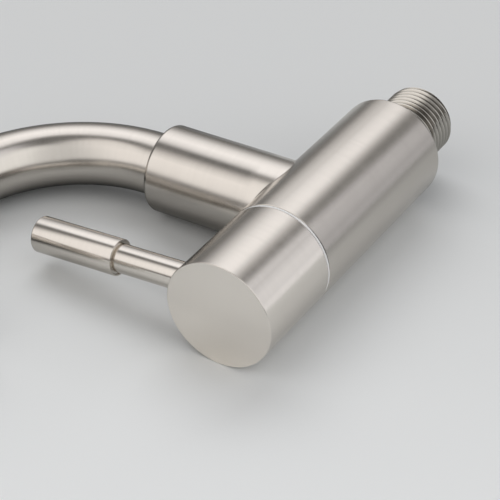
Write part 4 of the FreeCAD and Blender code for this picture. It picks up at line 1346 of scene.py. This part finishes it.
@dataclass
class Studio:
    """Pale surface, room with soft boxes, and camera."""

    surface: float = -15.6
    half_size: float = 1600.0
    tilt: float = math.radians(3.4)
    colour: Triple = (0.772, 0.788, 0.785)
    mottled: float = 0.985
    roughness: float = 0.9
    # Painted light near the camera, and painted shade on the far surface in what the metal mirrors
    near_painted_light: float = 1.17
    far_painted_shade: float = 0.28
    right_share: float = 0.12
    near_depth: Point = (30.0, -130.0)
    back_depth: Point = (-70.0, 10.0)
    back_aside: Point = (-55.0, -15.0)
    beyond_depth: Point = (120.0, 350.0)
    beyond_aside: Point = (20.0, 150.0)
    edge_on: Point = (0.88, 0.96)
    backdrop: Triple = (0.6, 0.605, 0.605)
    away: Triple = (0.0, 0.84115, 0.54081)
    right: Triple = (0.0, 0.54081, -0.84115)
    dim: Triple = (0.171, 0.167, 0.162)
    dim_unmirrored: float = 0.25
    boxes: tuple[SoftBox, ...] = (
        SoftBox(-46, 39, 28, 74, 0.99, (1.025, 1.015, 1.04), 13.0, 15.0, 22.0, 6.0),
        SoftBox(-155, -81, 12, 79, 0.90, (1.04, 1.01, 1.0), 28.0, 17.0, 5.5, 6.0),
        SoftBox(-180, -155, 12, 79, 0.55, (1.0, 1.0, 1.0), 0.5, 28.0, 5.5, 6.0),
        SoftBox(62, 110, -8, 76, 0.81, (1.0, 1.0, 1.05), 3.0, 15.0, 4.0, 6.0),
        SoftBox(110, 152, 9, 71, 0.90, (1.0, 1.0, 1.0), 15.0, 14.0, 4.0, 6.0),
        SoftBox(152, 180, 9, 71, 0.60, (1.0, 1.0, 1.0), 14.0, 0.5, 4.0, 6.0))
    core: SoftBox = SoftBox(-46, 39, 40, 60, 1.65, (1.0, 1.0, 1.0), 2.0, 2.0, 2.0, 2.0)
    camera_place: Triple = (290.19, -408.97, -214.09)
    camera_right: Triple = (-0.0238, 0.5264, -0.8499)
    camera_up: Triple = (0.8165, 0.5008, 0.2873)
    camera_back: Triple = (0.5768, -0.6871, -0.4418)
    sensor_width: float = 36.0
    lens: float = 136.552
    nearest: float = 10.0

    def build(self) -> None:
        """Builds the surface, the room and the camera."""
        self.pale_surface()
        self.room()
        self.camera()

    def pale_surface(self) -> None:
        """The surface that the tap lies on, seen only from its own side and not edge-on.

        The tap rests on its barrel and on the rim of its branch, so the surface is tilted.
        """
        up = Vector((math.cos(self.tilt), 0, -math.sin(self.tilt)))
        plane = added(bpy.ops.mesh.primitive_plane_add, "pale_surface", size=2 * self.half_size * MM,
                      location=up * self.surface * MM, rotation=(0, math.pi / 2 + self.tilt, 0))
        bpy.ops.object.transform_apply(location=True, rotation=True, scale=True)
        material = bpy.data.materials.new("pale_surface")
        material.use_nodes = True
        n = Nodes(material.node_tree)
        shader = n.tree.nodes["Principled BSDF"]
        coordinates = n.add("TexCoord").outputs["Object"]
        path = n.add("LightPath").outputs
        # Painted light near the camera and painted shade in what the metal mirrors
        painted_floor_light = self.painted_floor_light(n, coordinates, path["Is Glossy Ray"])
        shade = tuple(self.mottled * c for c in self.colour)
        tone = n.blend(n.noise(coordinates, 3.0, 2.0), self.colour, shade)
        n.feed(shader, {"Base Color": n.scaled(tone, painted_floor_light), "Roughness": self.roughness,
                        "Specular IOR Level": 0.0})
        edge_on = n.ranged(n.add("LayerWeight").outputs["Facing"], self.edge_on)
        unseen = n.math("MAXIMUM", n.add("NewGeometry").outputs["Backfacing"],
                        n.times(edge_on, path["Is Camera Ray"]))
        mix = n.add("MixShader", {0: unseen, 1: shader.outputs[0], 2: n.add("BsdfTransparent").outputs[0]})
        n.feed(n.tree.nodes["Material Output"], {"Surface": mix.outputs[0]})
        dress(plane, material)

    def painted_floor_light(self, n: Nodes, coordinates: Socket, mirrored: Socket) -> Socket:
        """Painted light and shade on the pale surface: painted light near the camera, and painted shade on
        the far surface where metal mirrors it.

        Args:
            n: the material's nodes.
            coordinates: the object coordinates.
            mirrored: 1 for what the metal mirrors.

        Returns:
            The socket.
        """
        depth, aside = n.toward(coordinates, self.away), n.toward(coordinates, self.right)
        near = n.placed(depth, self.near_depth, 1.0, self.near_painted_light)
        back = n.times(n.placed(depth, self.back_depth),
                       n.placed(aside, self.back_aside, 1.0, self.right_share))
        beyond = n.times(n.placed(depth, self.beyond_depth), n.placed(aside, self.beyond_aside, 1.0, 0.0))
        far = n.ranged(n.math("MAXIMUM", back, beyond), low=near, high=self.far_painted_shade)
        return n.ranged(mirrored, low=near, high=far)

    def room(self) -> None:
        """Dim room with the soft boxes in it, pale where the camera sees it.

        The rear box has a bright core, which lights the surface and is left out of what the metal mirrors.
        """
        world = bpy.data.worlds.new("room")
        bpy.context.scene.world = world
        world.use_nodes = True
        n = Nodes(world.node_tree)
        direction = n.add("TexCoord").outputs["Generated"]
        turn = n.math("ARCTAN2", n.toward(direction, self.right), n.toward(direction, self.away))
        rise = n.math("ARCSINE", n.add("SeparateXYZ", {0: direction}).outputs[0])
        azimuth, elevation = n.times(turn, math.degrees(1.0)), n.times(rise, math.degrees(1.0))
        path = n.add("LightPath").outputs
        mirrored = path["Is Glossy Ray"]
        light = n.blend(mirrored, tuple(self.dim_unmirrored * c for c in self.dim), self.dim)
        for box in (*self.boxes, self.core):
            share = self.inside_box(n, box, azimuth, elevation)
            if box is self.core:
                share = n.times(share, n.math("SUBTRACT", 1.0, mirrored))
            tint = (*(box.level * c for c in box.colour), 1.0)
            light = n.add("Mix", {0: share, 6: light, 7: tint}, data_type="RGBA", blend_type="ADD",
                          clamp_factor=False).outputs[2]
        seen = n.blend(path["Is Camera Ray"], light, self.backdrop)
        n.feed(n.tree.nodes["Background"], {"Color": seen, "Strength": 1.0})

    def inside_box(self, n: Nodes, box: SoftBox, azimuth: object, elevation: object) -> Socket:
        """How much of a soft box lies in a direction.

        Args:
            n: the world's nodes.
            box: the soft box.
            azimuth: angle to the right of straight away from the camera, in degrees.
            elevation: angle above the surface, in degrees.

        Returns:
            Socket with a value from 0 to 1.
        """
        def past(angle: object, edge: float, blur: float) -> Socket:
            """From 0 to 1 as an angle passes a soft edge."""
            return n.ranged(angle, (edge - blur, edge + blur), interpolation_type="SMOOTHSTEP")

        across = n.math("SUBTRACT", past(azimuth, box.left, box.left_blur),
                        past(azimuth, box.right, box.right_blur))
        above = n.math("SUBTRACT", past(elevation, box.bottom, box.bottom_blur),
                       past(elevation, box.top, box.top_blur))
        return n.times(across, above)

    def camera(self) -> None:
        """Camera where the photo was taken from."""
        bpy.ops.object.camera_add()
        camera = bpy.context.object
        camera.name = "camera"
        turn = Matrix((self.camera_right, self.camera_up, self.camera_back)).transposed().to_4x4()
        camera.matrix_world = Matrix.Translation(Vector(self.camera_place) * MM) @ turn
        camera.data.sensor_width = self.sensor_width
        camera.data.lens = self.lens
        camera.data.clip_start = self.nearest * MM
        bpy.context.scene.camera = camera
        bpy.context.scene.view_settings.view_transform = "Standard"


def main() -> None:
    """Builds the tap's looks and its studio."""
    logging.basicConfig(level=logging.INFO, format="%(name)s %(message)s")
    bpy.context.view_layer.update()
    palette = Palette()
    for assembly in (TapBody(palette), PinLeverHandle(palette), SwanNeckSpout(palette),
                     CarriedNodes(palette), Studio()):
        log.info("building %s", type(assembly).__name__)
        assembly.build()


if __name__ == "__main__":
    main()
